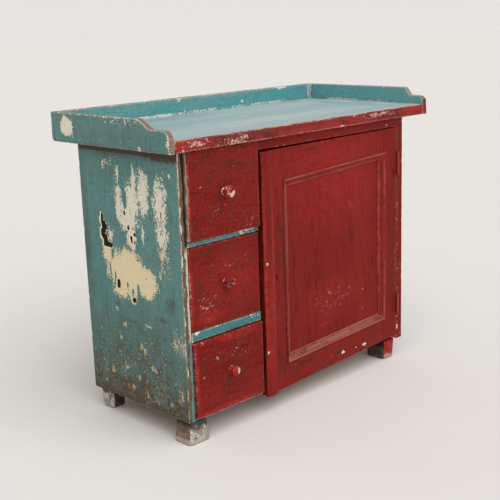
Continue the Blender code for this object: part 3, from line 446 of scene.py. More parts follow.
class Finish(Nodes):
    """One material's nodes; most calls give back a socket."""

    def __init__(self, name):
        self.material = bpy.data.materials.new(name)
        self.material.use_nodes = True
        super().__init__(self.material.node_tree)
        self.shader = self.tree.nodes["Principled BSDF"]
        self.place = self.add("TexCoord").outputs["Object"]

    def noise(self, scale, stretch=EVEN, detail=4.0, roughness=0.55, seed=0.0):
        mapping = self.add("Mapping", {"Vector": self.place, "Scale": stretch,
                                       "Location": (seed, 1.7 * seed, 2.3 * seed)})
        return self.add("TexNoise", {"Vector": mapping.outputs[0], "Scale": scale, "Detail": detail,
                                     "Roughness": roughness}).outputs[0]

    def along(self, axis):
        """Place along one of the object's axes."""
        return self.add("SeparateXYZ", {0: self.place}).outputs[axis]

    def jitter(self, value, chance, amount):
        """A value made uneven by a noise."""
        swing = self.calc('MULTIPLY', self.calc('SUBTRACT', chance, 0.5), amount)
        return self.calc('ADD', value, swing)

    def rise(self, value, low, high, start=0.0, end=1.0):
        """A smooth step from start to end as the value goes from low to high."""
        return self.add("MapRange", enumerate((value, low, high, start, end)),
                        interpolation_type='SMOOTHSTEP').outputs[0]

    def past(self, value, level, half):
        """A short smooth step at one level."""
        return self.rise(value, level - half, level + half)

    def mix(self, share, first, second):
        return self.add("Mix", {0: share, 6: first, 7: second}, data_type='RGBA').outputs[2]

    def over(self, under, value, low, high, colour, share=1.0):
        """A colour laid over another, up to a share, as the value goes from low to high."""
        return self.mix(self.rise(value, low, high, 0.0, share), under, colour)

    def layers(self, under, *rows):
        """Colours laid one over another, each a row of the value, low, high, colour and share."""
        for row in rows:
            under = self.over(under, *row)
        return under

    def wear(self):
        """The piece's own wear values: distance from an arris, lost paint, grime and painted shade, and
        rubbing and painted light.
        """
        values = self.add("Attribute", attribute_name="wear")
        parts = self.add("SeparateColor", {0: values.outputs["Color"]})
        return (*parts.outputs, values.outputs["Alpha"])

    def relief(self, height, depth):
        bump = self.add("Bump", {"Distance": depth, "Height": height})
        self.feed(self.shader, {"Normal": bump.outputs[0]})

    def surface(self, colour, roughness, specular=0.16, metallic=0.0):
        self.feed(self.shader, {"Base Color": colour, "Roughness": roughness,
                                "Specular IOR Level": specular, "Metallic": metallic})
        return self.material


def shade(colour, factor):
    return tuple(min(1.0, part * factor) for part in colour)


def blend(first, second, share):
    return tuple(a + (b - a) * share for a, b in zip(first, second))


class Coat(NamedTuple):
    """What one kind of old paint shows."""
    paint: tuple
    faded: tuple  # clouds and dry brush marks
    deep: tuple  # dark brush marks and specks
    rubbed: tuple  # where hands and feet have polished it, and painted light
    scuff: tuple  # small pale knocks
    rim: tuple  # line along a worn arris; on the mouldings also a painted highlight
    undercoat: tuple
    low_undercoat: tuple
    wood: tuple
    grime_and_shade: tuple
    blotch: tuple  # stains a few fingers wide
    stained_and_shaded: tuple  # undercoat under grime and painted shade
    grain: tuple = EVEN  # stretch of the brush marks
    flake: tuple = EVEN  # stretch of the flaking
    haze: float = 0.8
    blotches: float = 0.25
    specks: float = 0.45
    scuffs: float = 0.2
    rim_share: float = 0.75
    broken: float = 1.2  # how much the worn line breaks up
    arris_loss: float = 0.22
    gloss: float = 0.16


def worn_paint(name, coat, seed):
    """Paint that flakes to its undercoat and then to dark old wood, with a worn line along the arrises."""
    finish = Finish(name)
    arris, loss, dirt_and_shade, rubbed = finish.wear()
    cloud = finish.noise(6.0, coat.grain, 3.0, 0.6, seed)
    stain = finish.noise(24.0, EVEN, 5.0, 0.62, seed + 13)
    streak = finish.noise(85.0, coat.grain, 4.0, 0.6, seed + 3)
    fine = finish.noise(280.0, EVEN, 2.0, 0.5, seed + 5)
    ragged = finish.noise(85.0, coat.flake, 6.0, 0.68, seed + 7)
    fleck = finish.noise(150.0, EVEN, 3.0, 0.6, seed + 11)

    tone = finish.layers(
        coat.paint, (cloud, 0.36, 0.66, coat.faded, coat.haze),
        (stain, 0.5, 0.62, coat.blotch, coat.blotches), (streak, 0.5, 0.74, coat.deep, 0.5),
        (streak, 0.46, 0.26, coat.faded, 0.4),
        (fine, 0.56, 0.72, coat.deep, coat.specks), (fleck, 0.6, 0.72, coat.scuff, coat.scuffs),
        (fleck, 0.41, 0.33, coat.deep, coat.specks))
    # Rubbed places; some spots are painted light: the sheen on the door panel, the highlight on the lip's
    # left end and the lighter inside of the right gallery end
    tone = finish.mix(finish.calc('MULTIPLY', rubbed, finish.rise(ragged, 0.3, 0.58)), tone, coat.rubbed)
    line = finish.calc('MULTIPLY', finish.rise(arris, 0.03, 0.11, coat.rim_share, 0.0),
                       finish.rise(finish.jitter(ragged, fleck, coat.broken), 0.4, 0.56))
    tone = finish.mix(line, tone, coat.rim)
    patchy = finish.jitter(finish.jitter(ragged, stain, 0.6), fleck, 1.0)
    # Grime, and painted shade where the marks lay the dark band under the overhang
    grime_and_shade_share = finish.calc('MULTIPLY', dirt_and_shade, finish.rise(patchy, 0.34, 0.66, 0.3, 1.0))
    tone = finish.mix(grime_and_shade_share, tone, coat.grime_and_shade)

    level = finish.calc('ADD', loss, finish.rise(arris, 0.0, 0.09, coat.arris_loss, 0.0))
    level = finish.jitter(finish.jitter(finish.jitter(level, ragged, 1.4), fleck, 1.2), fine, 0.9)
    flaked = finish.rise(level, 0.49, 0.55)
    bared = finish.mix(fine, shade(coat.wood, 0.05), shade(coat.wood, 0.16))
    ground = finish.over(coat.low_undercoat, finish.along(2), 0.48, 0.56, coat.undercoat)
    ground = finish.over(ground, fleck, 0.52, 0.74, blend(coat.undercoat, coat.wood, 0.7), 0.4)
    ground = finish.mix(finish.calc('MULTIPLY', grime_and_shade_share, 0.55), ground, coat.stained_and_shaded)
    ground = finish.over(ground, level, 1.75, 1.9, bared)

    height = finish.calc('SUBTRACT', finish.calc('MULTIPLY', ragged, 0.5), flaked)
    finish.relief(finish.calc('ADD', height, finish.calc('MULTIPLY', streak, 0.4)), 0.0006)
    return finish.surface(finish.mix(flaked, tone, ground), finish.rise(flaked, 0.0, 1.0, 0.5, 0.8),
                          coat.gloss)


def worn_edge(name, cream, wood, low_paint, upper_paint, seed):
    """The left side's front edge: a broken cream arris, a band of bare wood, and paint that changes with
    height, near black above EDGE_PALE_TOP as painted shade beside the proud top drawer."""
    finish = Finish(name)
    wander = finish.noise(95.0, (1, 1, 0.35), 5.0, 0.68, seed)
    fine = finish.noise(260.0, (1, 1, 0.3), 3.0, 0.55, seed + 2)
    left = finish.noise(48.0, (1, 1, 0.4), 4.0, 0.65, seed + 4)
    dark = shade(wood, 0.12)
    across = finish.jitter(finish.along(0), wander, 0.022)
    up = finish.jitter(finish.along(2), wander, 0.06)
    inner = finish.mix(finish.past(up, EDGE_TEAL_TOP, 0.01), low_paint, upper_paint)
    # Near black above EDGE_PALE_TOP: painted shade beside the proud top drawer
    inner = finish.mix(finish.past(up, EDGE_PALE_TOP, 0.01), inner, dark)
    share = finish.jitter(finish.rise(up, EDGE_TEAL_TOP, EDGE_PALE_TOP, 0.42, 0.62), left, 2.0)
    arris = finish.over(shade(wood, 0.8), share, 0.46, 0.56, cream)
    band = finish.over(shade(wood, 0.45), fine, 0.35, 0.65, shade(wood, 1.25))
    colour = finish.mix(finish.past(across, LEFT_FACE + EDGE_CREAM_WIDTH, 0.001), arris, band)
    colour = finish.mix(finish.past(across, LEFT_FACE + EDGE_WOOD_WIDTH, 0.001), colour, inner)
    colour = finish.over(colour, fine, 0.58, 0.7, dark, 0.6)
    finish.relief(finish.calc('ADD', wander, fine), 0.0008)
    return finish.surface(colour, finish.rise(fine, 0.3, 0.7, 0.6, 0.85))


def scuffed_wood(name, base, patch, dark, low, low_top, shaded_from, stretch, seed):
    """Wood with remains of paint: broad patches, dark marks, another colour under one height, and painted
    shade with some dirt over another.
    """
    finish = Finish(name)
    broad = finish.noise(45.0, stretch, 5.0, 0.62, seed)
    ragged = finish.noise(95.0, stretch, 6.0, 0.68, seed + 2)
    fine = finish.noise(320.0, EVEN, 2.0, 0.5, seed + 4)
    up = finish.jitter(finish.along(2), broad, 0.05)
    colour = finish.layers(
        base, (broad, 0.46, 0.56, patch), (ragged, 0.56, 0.64, dark, 0.85),
        (fine, 0.52, 0.7, blend(base, dark, 0.6), 0.5), (up, low_top + 0.004, low_top - 0.004, low, 0.9),
        # Above the second height: darker, painted shade under the carcass with some dirt
        (up, shaded_from - 0.006, shaded_from + 0.012, shade(dark, 0.6), 0.92))
    finish.relief(finish.calc('ADD', ragged, finish.calc('MULTIPLY', fine, 0.3)), 0.0012)
    return finish.surface(colour, finish.rise(ragged, 0.3, 0.7, 0.65, 0.9))


def pine_boards(name, pine, grain, seed, shaded_front=None):
    """Unpainted pine gone brown with age; the grain runs along the axis with the small stretch."""
    finish = Finish(name)
    rings = finish.noise(46.0, grain, 3.0, 0.5, seed)
    bands = finish.calc('SINE', finish.calc('MULTIPLY', rings, 60.0))
    fibre = finish.noise(420.0, grain, 4.0, 0.6, seed + 2)
    stain = finish.noise(9.0, EVEN, 4.0, 0.6, seed + 4)
    colour = finish.layers(
        pine, (bands, -0.2, 0.9, shade(pine, 0.58), 0.65), (fibre, 0.45, 0.7, shade(pine, 0.45), 0.5),
        (stain, 0.45, 0.72, shade(pine, 0.4), 0.6))
    # Near black towards the front: painted shade in the deep gap between the drawers and the door
    if shaded_front is not None:
        forward = finish.jitter(finish.along(1), stain, 0.02)
        colour = finish.over(colour, forward, shaded_front + 0.008, shaded_front - 0.008, shade(pine, 0.03),
                             0.96)
    finish.relief(fibre, 0.0004)
    return finish.surface(colour, finish.rise(stain, 0.3, 0.7, 0.68, 0.85))


def old_metal(name, metal, rust, seed, metallic=0.85):
    """Metal with a dull skin and patches of rust, tarnish or paint."""
    finish = Finish(name)
    patches = finish.noise(90.0, EVEN, 5.0, 0.6, seed)
    finish.relief(finish.noise(600.0, EVEN, 2.0, 0.5, seed + 2), 0.0003)
    colour = finish.over(metal, patches, 0.42, 0.62, rust)
    return finish.surface(colour, finish.rise(patches, 0.35, 0.65, 0.4, 0.75), 0.4, metallic)


def teal_finishes(paint):
    """Finishes of the sides, rails, gallery and top."""
    teal, rails, gallery, top = map(tuple, (paint.teal, paint.rail_teal, paint.gallery_teal, paint.top))
    cream, wood = tuple(paint.undercoat), tuple(paint.wood)
    side = Coat(
        teal, blend(teal, (0.18, 0.29, 0.26), 0.45), shade(teal, 0.45), (0.42, 0.5, 0.49), (0.26, 0.34, 0.3),
        (0.42, 0.36, 0.27), cream, tuple(paint.low_undercoat), wood, tuple(paint.grime_and_shade), (0.085, 0.15, 0.115),
        (0.23, 0.15, 0.08), grain=ALONG_Z, flake=(1, 1, 0.42), specks=0.65)
    rail = side._replace(
        paint=rails, faded=shade(rails, 1.25), deep=shade(rails, 0.6), low_undercoat=cream,
        blotch=shade(rails, 0.7), grain=ALONG_X, flake=(0.4, 1, 1), rim_share=0.45)
    inner = rail._replace(
        paint=gallery, faded=blend(gallery, (0.3, 0.4, 0.38), 0.5), deep=shade(gallery, 0.72),
        blotch=(0.24, 0.36, 0.34), rubbed=shade(gallery, 1.35), scuff=(0.42, 0.52, 0.52),
        undercoat=(0.72, 0.72, 0.66), rim=(0.42, 0.32, 0.22), rim_share=0.8, scuffs=0.35)
    crest = side._replace(
        paint=shade(wood, 1.25), faded=(0.4, 0.3, 0.2), deep=shade(wood, 0.4), blotch=shade(wood, 0.6),
        rubbed=(0.26, 0.12, 0.08), rim=(0.64, 0.57, 0.44), rim_share=0.95, grain=(1, 0.14, 1))
    board = rail._replace(
        paint=top, faded=blend(top, (0.5, 0.54, 0.52), 0.8), deep=blend(top, gallery, 0.45),
        blotch=(0.36, 0.42, 0.41), rubbed=(0.15, 0.32, 0.34), scuff=(0.52, 0.58, 0.56),
        rim=(0.56, 0.56, 0.5), rim_share=0.35, specks=0.2, flake=(0.25, 1, 1), arris_loss=0.1)
    return {
        "teal": worn_paint("old teal paint", side, 1.0),
        "teal_rail": worn_paint("teal paint on rails", rail, 2.0),
        "teal_gallery": worn_paint("teal paint inside the gallery", inner, 8.0),
        "crest": worn_paint("worn crest of the gallery", crest, 9.0),
        "top": worn_paint("thin grey-blue paint", board, 6.0),
        "edge": worn_edge("worn front edge", shade(cream, 0.72), wood, (0.09, 0.26, 0.25),
                          (0.5, 0.5, 0.38), 5.0),
    }


def red_finishes(paint):
    """Finishes of the drawers, the door and the edge of the top."""
    red, bright = tuple(paint.red), tuple(paint.rubbed_red)
    pink = (0.5, 0.2, 0.17)
    tan = (0.46, 0.24, 0.19)
    cream = (0.47, 0.46, 0.34)
    door = Coat(
        red, (0.24, 0.017, 0.013), shade(red, 0.35), bright, (0.37, 0.07, 0.058), (0.4, 0.05, 0.042),
        (0.56, 0.37, 0.29), (0.7, 0.64, 0.59), tuple(paint.wood), (0.085, 0.022, 0.014),
        (0.135, 0.021, 0.014), (0.26, 0.11, 0.08), grain=ALONG_Z, haze=0.75, blotches=0.75, specks=0.4,
        scuffs=0.35, rim_share=0.45, arris_loss=0.16, gloss=0.07)
    panel = door._replace(undercoat=pink, low_undercoat=pink, blotches=0.32, specks=0.3, scuffs=0.3)
    drawer = panel._replace(grain=ALONG_X, blotches=0.75, specks=0.6, scuffs=0.65)
    end = drawer._replace(paint=shade(bright, 0.85), faded=bright, arris_loss=0.0)
    # The strip's left face is a brighter red: a worn pink edge, and painted light on a face that lies in the
    # shade of the gap
    strip = drawer._replace(
        paint=(0.46, 0.05, 0.04), faded=(0.56, 0.16, 0.125), rim_share=0.8, arris_loss=0.0)
    lip = door._replace(
        paint=shade(red, 1.1), faded=(0.27, 0.04, 0.034), rim=(0.48, 0.15, 0.12),
        undercoat=(0.6, 0.42, 0.35), rim_share=0.85, scuffs=0.5, grain=ALONG_X, flake=(0.16, 1, 1),
        arris_loss=0.2)
    # The upright mouldings' pale line along the arris is a worn line and a painted highlight
    upright = door._replace(
        paint=blend(red, (0.26, 0.04, 0.032), 0.4), rim=(0.4, 0.09, 0.075), undercoat=tan,
        low_undercoat=tan, rim_share=0.75, flake=(1, 1, 0.08), broken=0.4, arris_loss=0.06)
    level = upright._replace(grain=ALONG_X, flake=(0.08, 1, 1))
    # The bottom moulding's upward faces: paler with dust, and lighter as painted light from above
    dusty_and_lit = level._replace(
        paint=(0.225, 0.07, 0.052), faded=(0.31, 0.165, 0.125), deep=(0.13, 0.024, 0.018),
        rim=(0.4, 0.15, 0.115), rim_share=0.8, grain=(0.04, 1, 1), arris_loss=0.04)
    knob = door._replace(
        grain=EVEN, undercoat=(0.66, 0.54, 0.46), low_undercoat=(0.6, 0.4, 0.34), rim_share=0.3)
    return {
        "red": worn_paint("old red paint", door, 3.0),
        "red_rail": worn_paint("red paint of the rails", door._replace(grain=ALONG_X), 18.0),
        "red_panel": worn_paint("red paint of the panel", panel, 17.0),
        "red_drawer": worn_paint("red paint of the drawers", drawer, 14.0),
        "lip": worn_paint("red edge of the top", lip, 10.0),
        "moulding_bottom": worn_paint("dusty red moulding", dusty_and_lit, 4.0),
        "moulding_level": worn_paint("level red moulding", level, 15.0),
        "moulding_side": worn_paint("upright red moulding", upright, 11.0),
        # Wear and painted light on the strip's left face
        "lit_strip_end": worn_paint("worn edge of the cover strip", strip, 16.0),
        "knob": worn_paint("red knob", knob, 12.0),
        "red_end": worn_paint("bright red end", end, 13.0),
        "drawer_end": scuffed_wood("worn drawer end", cream, (0.17, 0.23, 0.18), (0.11, 0.07, 0.045), cream,
                                   0.0, 1.0, (1, 1, 0.3), 2.0),
    }


def foot_finishes():
    """Finishes of the feet, which have lost most of their paint."""
    grey = (0.56, 0.53, 0.48)
    brown = (0.15, 0.1, 0.068)
    dark = (0.055, 0.045, 0.036)
    beige = (0.43, 0.37, 0.295)
    looks = {
        "pale": (grey, (0.3, 0.27, 0.23), dark, beige, 0.01, 0.042, EVEN, 3.0),
        "brown": (brown, shade(brown, 1.6), dark, beige, 0.017, 0.046, EVEN, 5.0),
        # The dark look goes on foot faces that lie in the shade under the carcass: painted shade, with some
        # dirt
        "dark": (dark, shade(dark, 1.8), shade(dark, 0.4), brown, 0.004, 0.04, EVEN, 7.0),
        "red": ((0.26, 0.02, 0.014), (0.4, 0.035, 0.026), (0.12, 0.02, 0.014), (0.42, 0.3, 0.21), 0.016, 0.07,
                EVEN, 9.0),
    }
    return {f"foot_{name}": scuffed_wood(f"{name} foot", *look) for name, look in looks.items()}


def plain_finishes(paint):
    """Finishes of the boards inside, the hinges and the lock."""
    pine = tuple(paint.pine)
    return {
        "pine_x": pine_boards("pine along X", pine, (0.06, 1, 1), 1.0),
        "pine_y": pine_boards("pine along Y", pine, (1, 0.06, 1), 2.0),
        "pine_z": pine_boards("pine along Z", pine, (1, 1, 0.06), 3.0),
        # The partition's front edge is painted shade, near black
        "partition": pine_boards("pine partition", pine, (1, 1, 0.06), 4.0, FRONT_FACE + 0.042),
        "iron": old_metal("old iron", tuple(paint.iron), (0.115, 0.05, 0.026), 1.0),
        "hinge": old_metal("painted iron", (0.3, 0.024, 0.018), (0.19, 0.03, 0.022), 3.0, 0.0),
        "nail": old_metal("bright nail", (0.62, 0.6, 0.56), (0.48, 0.36, 0.3), 4.0, 0.2),
        "brass": old_metal("tarnished brass", tuple(paint.brass), (0.16, 0.105, 0.045), 2.0),
    }


FINISHES = {}


def finishes(context):
    """Every finish of the sideboard by name, made on first use."""
    if not FINISHES:
        paint = context.scene.sideboard_paint
        for group in (teal_finishes(paint), red_finishes(paint), foot_finishes(), plain_finishes(paint)):
            FINISHES.update(group)
    return FINISHES


class Face(NamedTuple):
    """A finish, and the way that the faces look that have it; with no way it is on all the others."""
    finish: str
    way: Vector = None
    reach: float = 0.35


def mesh_of(shape, name):
    """A mesh made of a shape, which is then freed."""
    mesh = bpy.data.meshes.new(name)
    shape.to_mesh(mesh)
    shape.free()
    return mesh


def put(context, name, data):
    """A new object in the scene."""
    item = bpy.data.objects.new(name, data)
    context.scene.collection.objects.link(item)
    return item


def solid_shape(node):
    """A copy of a solid with its triangles merged into whole faces."""
    shape = bmesh.new()
    shape.from_mesh(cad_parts[node].data)
    bmesh.ops.remove_doubles(shape, verts=shape.verts, dist=WELD)
    bmesh.ops.dissolve_limit(shape, angle_limit=FLAT_ANGLE, verts=shape.verts, edges=shape.edges)
    shape.normal_update()
    return shape


def soften(shape, edges, width, steps=ROUND_STEPS):
    """Round some arrises of a shape."""
    bmesh.ops.bevel(shape, geom=edges, affect='EDGES', offset=width, segments=steps, profile=0.5,
                    material=-1)


def board_shape(node, rounding):
    """A board in the place of a straight solid, with rounded arrises."""
    low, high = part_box(node)
    size = high - low
    shape = bmesh.new()
    place = Matrix.Translation((low + high) / 2) @ Matrix.Diagonal((*size, 1.0))
    bmesh.ops.create_cube(shape, size=1.0, matrix=place)
    width = min(rounding, min(size) / BOARD_ROUNDINGS)
    soften(shape, shape.edges[:], width)
    for axis in range(3):
        if size[axis] > BOARD_ROUNDINGS * (width + SUPPORT):
            cut(shape, axis, low[axis] + width + SUPPORT)
            cut(shape, axis, high[axis] - width - SUPPORT)
    return shape


def cut(shape, axis, level):
    """A ring of edges round a shape at one level of an axis."""
    normal = Vector((0, 0, 0))
    normal[axis] = 1.0
    bmesh.ops.bisect_plane(shape, geom=shape.verts[:] + shape.edges[:] + shape.faces[:], dist=WELD,
                           plane_co=normal * level, plane_no=normal)


def cut_grid(shape, spacing, axes):
    """Even rings of edges along the axes, so that a face can carry wear."""
    places = [vert.co.copy() for vert in shape.verts]
    for axis in axes:
        low = min(place[axis] for place in places)
        high = max(place[axis] for place in places)
        count = round((high - low) / spacing)
        for step in range(1, count):
            cut(shape, axis, low + (high - low) * step / count)


def is_outer(edge, ways):
    """Whether a sharp outward edge borders a face that looks one of the ways, or any way if none is given."""
    if not edge.is_manifold or not edge.is_convex or edge.calc_face_angle() < SHARP_ANGLE:
        return False
    return ways is None or any(face.normal.dot(way) > SQUARE_ON for face in edge.link_faces for way in ways)


def sharp_arrises(node, ways):
    """Ends of a solid's worn arrises."""
    shape = solid_shape(node)
    ends = [[edge.verts[0].co[:], edge.verts[1].co[:]] for edge in shape.edges if is_outer(edge, ways)]
    shape.free()
    return np.array(ends)


def arris_distance(points, arrises):
    """Distance from each point to the nearest worn arris."""
    nearest = np.full(len(points), ARRIS_SPAN)
    for start, end in arrises:
        along = end - start
        share = np.clip((points - start) @ along / (along @ along), 0.0, 1.0)
        gap = np.linalg.norm(points - start - share[:, None] * along, axis=1)
        nearest = np.minimum(nearest, gap)
    return nearest


def spread(points, axis, rows):
    """The strongest of a face's spots at each point; a spot of negative strength takes away."""
    across, up = [number for number in range(3) if number != axis]
    value = np.zeros(len(points))
    for spot in sorted((Spot(*row) for row in rows), key=lambda spot: -spot.strength):
        first = (points[:, across] - spot.across / MM_PER_METRE) / (spot.reach_across / MM_PER_METRE)
        second = (points[:, up] - spot.up / MM_PER_METRE) / (spot.reach_up / MM_PER_METRE)
        part = spot.strength * np.clip(spot.firm * (1.0 - first ** 2 - second ** 2), 0.0, 1.0)
        value = np.maximum(value, part) if spot.strength > 0 else value + part
    return value


def wear_values(points, normals, arrises, base):
    """Distance from an arris, lost paint, grime and painted shade, and rubbing and painted light at each
    point of a piece.
    """
    values = np.zeros((len(points), 4), np.float32)
    values[:, 0] = arris_distance(points, arrises) / ARRIS_SPAN
    values[:, 1:] = base
    for marks in ALL_MARKS:
        axis, level = marks.face()
        near = abs(points[:, axis] - level) < marks.depth
        near &= normals @ np.array(marks.way) > FACE_TURN
        for column, rows in enumerate((marks.loss, marks.dirt_and_shade, marks.rubbed), start=1):
            found = spread(points[near], axis, rows)
            values[near, column] = np.maximum(values[near, column], found)
    return values


def vectors(holder, name):
    """An array of a mesh's places or normals."""
    flat = np.zeros(len(holder) * 3, np.float32)
    holder.foreach_get(name, flat)
    return flat.reshape(-1, 3)


def age(mesh, points, normals, values, rounding, wobble, nick):
    """Make a mesh uneven, dent its arrises and gouge it where the wood is bare, always inwards."""
    near = np.clip(1.0 - values[:, 0] * ARRIS_SPAN / (DENT_REACH * rounding), 0.0, 1.0)
    broad = np.array([noise.noise(Vector(point) * BROAD_WAVES) for point in points])
    dents = np.array([noise.noise(Vector(point) * DENT_WAVES) for point in points])
    depth = wobble * (0.5 + 0.5 * broad) + nick * near * np.clip(dents - DENT_START, 0.0, 1.0)
    depth += GOUGE_DEPTH * np.clip(values[:, 1] - GOUGE_LOSS, 0.0, 1.0)
    mesh.vertices.foreach_set("co", (points - normals * depth[:, None]).ravel())
    mesh.update()


def dress(context, node, body, slot, shape, faces, loss=0.1, dirt_and_shade=0.0, rubbed=0.0, wobble=1.0, nick=1.0,
          ways=None, axes=ALL_AXES):
    """Make a worn piece of a shape, in the place of a solid."""
    wear = context.scene.sideboard_wear
    cut_grid(shape, wear.grid, axes)
    bmesh.ops.recalc_face_normals(shape, faces=shape.faces)
    mesh = mesh_of(shape, f"worn_{node}")
    points = vectors(mesh.vertices, "co")
    normals = vectors(mesh.vertex_normals, "vector")
    looks = vectors(mesh.polygons, "normal")
    values = wear_values(points, normals, sharp_arrises(node, ways), (loss, dirt_and_shade, rubbed))
    age(mesh, points, normals, values, wear.rounding, wobble * wear.wobble, nick * wear.nick)
    holder = mesh.attributes.new("wear", 'FLOAT_COLOR', 'POINT')
    holder.data.foreach_set("color", values.ravel())
    chosen = np.zeros(len(mesh.polygons), np.int32)
    for number, face in reversed(list(enumerate(faces))):
        chosen[looks @ np.array(face.way or UPWARD) > (face.reach if face.way else ANY_WAY)] = number
    for face in faces:
        mesh.materials.append(finishes(context)[face.finish])
    mesh.polygons.foreach_set("material_index", chosen)
    mesh.shade_smooth()
    mesh.set_sharp_from_angle(angle=SMOOTH_ANGLE)
    piece = put(context, f"worn_{node}", mesh)
    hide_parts(node)
    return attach(piece, body)


class SIDEBOARD_OT_carcass(bpy.types.Operator):
    """Sides, frieze and the rails between the drawers"""
    bl_idname = "sideboard.carcass"
    bl_label = "Carcass"

    def execute(self, context):
        rounding = context.scene.sideboard_wear.rounding
        rail = [Face("teal_rail", FRONTWARD), Face("pine_x")]
        boards = {
            "left_side_panel": [Face("teal", LEFTWARD), Face("edge", FRONTWARD), Face("pine_z")],
            "right_side_panel": [Face("teal", RIGHTWARD), Face("red", FRONTWARD, 0.05), Face("pine_z")],
            "frieze_rail": [Face("red_rail")],
            "drawer_rail_upper": rail,
            "drawer_rail_lower": rail,
            "bottom_rail": [Face("teal", FRONTWARD, 0.1), Face("pine_x")],
        }
        for node, faces in boards.items():
            slot, dirt_and_shade = ("red_paint", FRIEZE_DIRT) if node == "frieze_rail" else ("teal_paint", 0.0)
            dress(context, node, "carcass", slot, board_shape(node, rounding), faces, dirt_and_shade=dirt_and_shade)
        return {'FINISHED'}


def quarter(across, up, radius, start):
    """Points of Y and Z along a quarter circle, from one angle to smaller ones."""
    angles = [start - math.pi / 2 * step / CURVE_STEPS for step in range(CURVE_STEPS + 1)]
    return [(across + radius * math.cos(angle), up + radius * math.sin(angle)) for angle in angles]


def gallery_end_shape(node, rounding):
    """A gallery end: heel, nose, flat, ogee and level top, swept across its thickness."""
    low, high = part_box(node)
    start, length = OGEES[node]
    shelf = high.z - OGEE_DROP
    outline = [(high.y, high.z), *quarter(high.y - HEEL_RADIUS, low.z + HEEL_RADIUS, HEEL_RADIUS, 0.0),
               (low.y, low.z), *quarter(low.y + NOSE_RADIUS, shelf - NOSE_RADIUS, NOSE_RADIUS, math.pi)]
    for step in range(CURVE_STEPS + 1):
        share = step / CURVE_STEPS
        rise = OGEE_DROP * (1 - math.cos(math.pi * share)) / 2
        outline.append((low.y + start - length * (1 - share), shelf + rise))
    shape = bmesh.new()
    face = shape.faces.new([shape.verts.new((low.x, y, z)) for y, z in outline])
    swept = bmesh.ops.extrude_face_region(shape, geom=[face])
    moved = [item for item in swept["geom"] if isinstance(item, bmesh.types.BMVert)]
    bmesh.ops.translate(shape, verts=moved, vec=(high.x - low.x, 0, 0))
    bmesh.ops.recalc_face_normals(shape, faces=shape.faces)
    rims = [edge for edge in shape.edges if abs(edge.verts[0].co.x - edge.verts[1].co.x) < WELD]
    soften(shape, rims, rounding, RIM_STEPS)
    return shape


class SIDEBOARD_OT_top(bpy.types.Operator):
    """Top board and the gallery round it"""
    bl_idname = "sideboard.top"
    bl_label = "Top and gallery"

    def execute(self, context):
        rounding = context.scene.sideboard_wear.rounding
        boards = {
            "top_board": ("worn_top_paint", [Face("top", UPWARD, 0.8), Face("lip", FRONTWARD),
                                             Face("pine_x")]),
            "gallery_back": ("teal_paint", [Face("crest", UPWARD, 0.75), Face("teal_gallery")]),
        }
        for node, (slot, faces) in boards.items():
            dress(context, node, "carcass", slot, board_shape(node, rounding), faces)
        ends = {
            "gallery_left": (0.0, [Face("teal", LEFTWARD), Face("teal_gallery", RIGHTWARD), Face("crest")]),
            "gallery_right": (0.1, [Face("lip", FRONTWARD, 0.85), Face("teal_gallery", LEFTWARD),
                                    Face("teal", RIGHTWARD), Face("crest")]),
        }
        for node, (rubbed, faces) in ends.items():
            dress(context, node, "carcass", "teal_paint", gallery_end_shape(node, rounding), faces, loss=0.18,
                  rubbed=rubbed)
        return {'FINISHED'}


class SIDEBOARD_OT_drawer_fronts(bpy.types.Operator):
    """Fronts of the three drawers, with their dovetail sockets"""
    bl_idname = "sideboard.drawer_fronts"
    bl_label = "Drawer fronts"

    def execute(self, context):
        ends = {"drawer_top": "drawer_end", "drawer_middle": "red_end", "drawer_bottom": "red_end"}
        for drawer, end in ends.items():
            node = f"{drawer}_front"
            dress(context, node, drawer, "red_paint", solid_shape(node),
                  [Face("red_drawer", FRONTWARD), Face(end, LEFTWARD, 0.9), Face("red_drawer", UPWARD, 0.9),
                   Face("pine_x")], loss=0.08)
        return {'FINISHED'}


def knob_shape(node):
    """A turned knob, spun about the line of its spigot."""
    low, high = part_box(node)
    head = (high.x - low.x) / 2
    face = low.y + KNOB_PROJECTION
    half = KNOB_HEAD_LENGTH / 2
    profile = [(0.0, high.y), (KNOB_SPIGOT_RADIUS, high.y), (KNOB_SPIGOT_RADIUS, face),
               (KNOB_COLLAR_RADIUS, face), (KNOB_COLLAR_RADIUS, face - KNOB_COLLAR_LENGTH / 2),
               (KNOB_NECK_RADIUS, face - KNOB_COLLAR_LENGTH)]
    for step in range(KNOB_STEPS + 1):
        angle = math.radians(KNOB_BACK + KNOB_SWEEP * step / KNOB_STEPS)
        profile.append((head * math.cos(angle), low.y + half - half * math.sin(angle)))
    return turned_shape((low + high) / 2, profile)


def turned_shape(centre, profile):
    """A profile of radius and Y, spun about a line along Y."""
    shape = bmesh.new()
    verts = [shape.verts.new((centre.x + radius, y, centre.z)) for radius, y in profile]
    edges = [shape.edges.new(pair) for pair in zip(verts, verts[1:])]
    bmesh.ops.spin(shape, geom=verts + edges, cent=centre, axis=(0, 1, 0), angle=2 * math.pi,
                   steps=KNOB_SEGMENTS, use_merge=True)
    bmesh.ops.remove_doubles(shape, verts=shape.verts, dist=WELD)
    bmesh.ops.recalc_face_normals(shape, faces=shape.faces)
    return shape


class SIDEBOARD_OT_knobs(bpy.types.Operator):
    """Turned knobs, each worn in its own way"""
    bl_idname = "sideboard.knobs"
    bl_label = "Knobs"

    def execute(self, context):
        looks = {"drawer_top": (0.34, 0.0, 0.3), "drawer_middle": (0.3, 0.35, 0.0),
                 "drawer_bottom": (0.22, 0.0, 0.8)}
        for drawer, wear in looks.items():
            node = f"{drawer}_knob"
            dress(context, node, drawer, "red_paint", knob_shape(node), [Face("knob")], *wear, axes=())
        return {'FINISHED'}


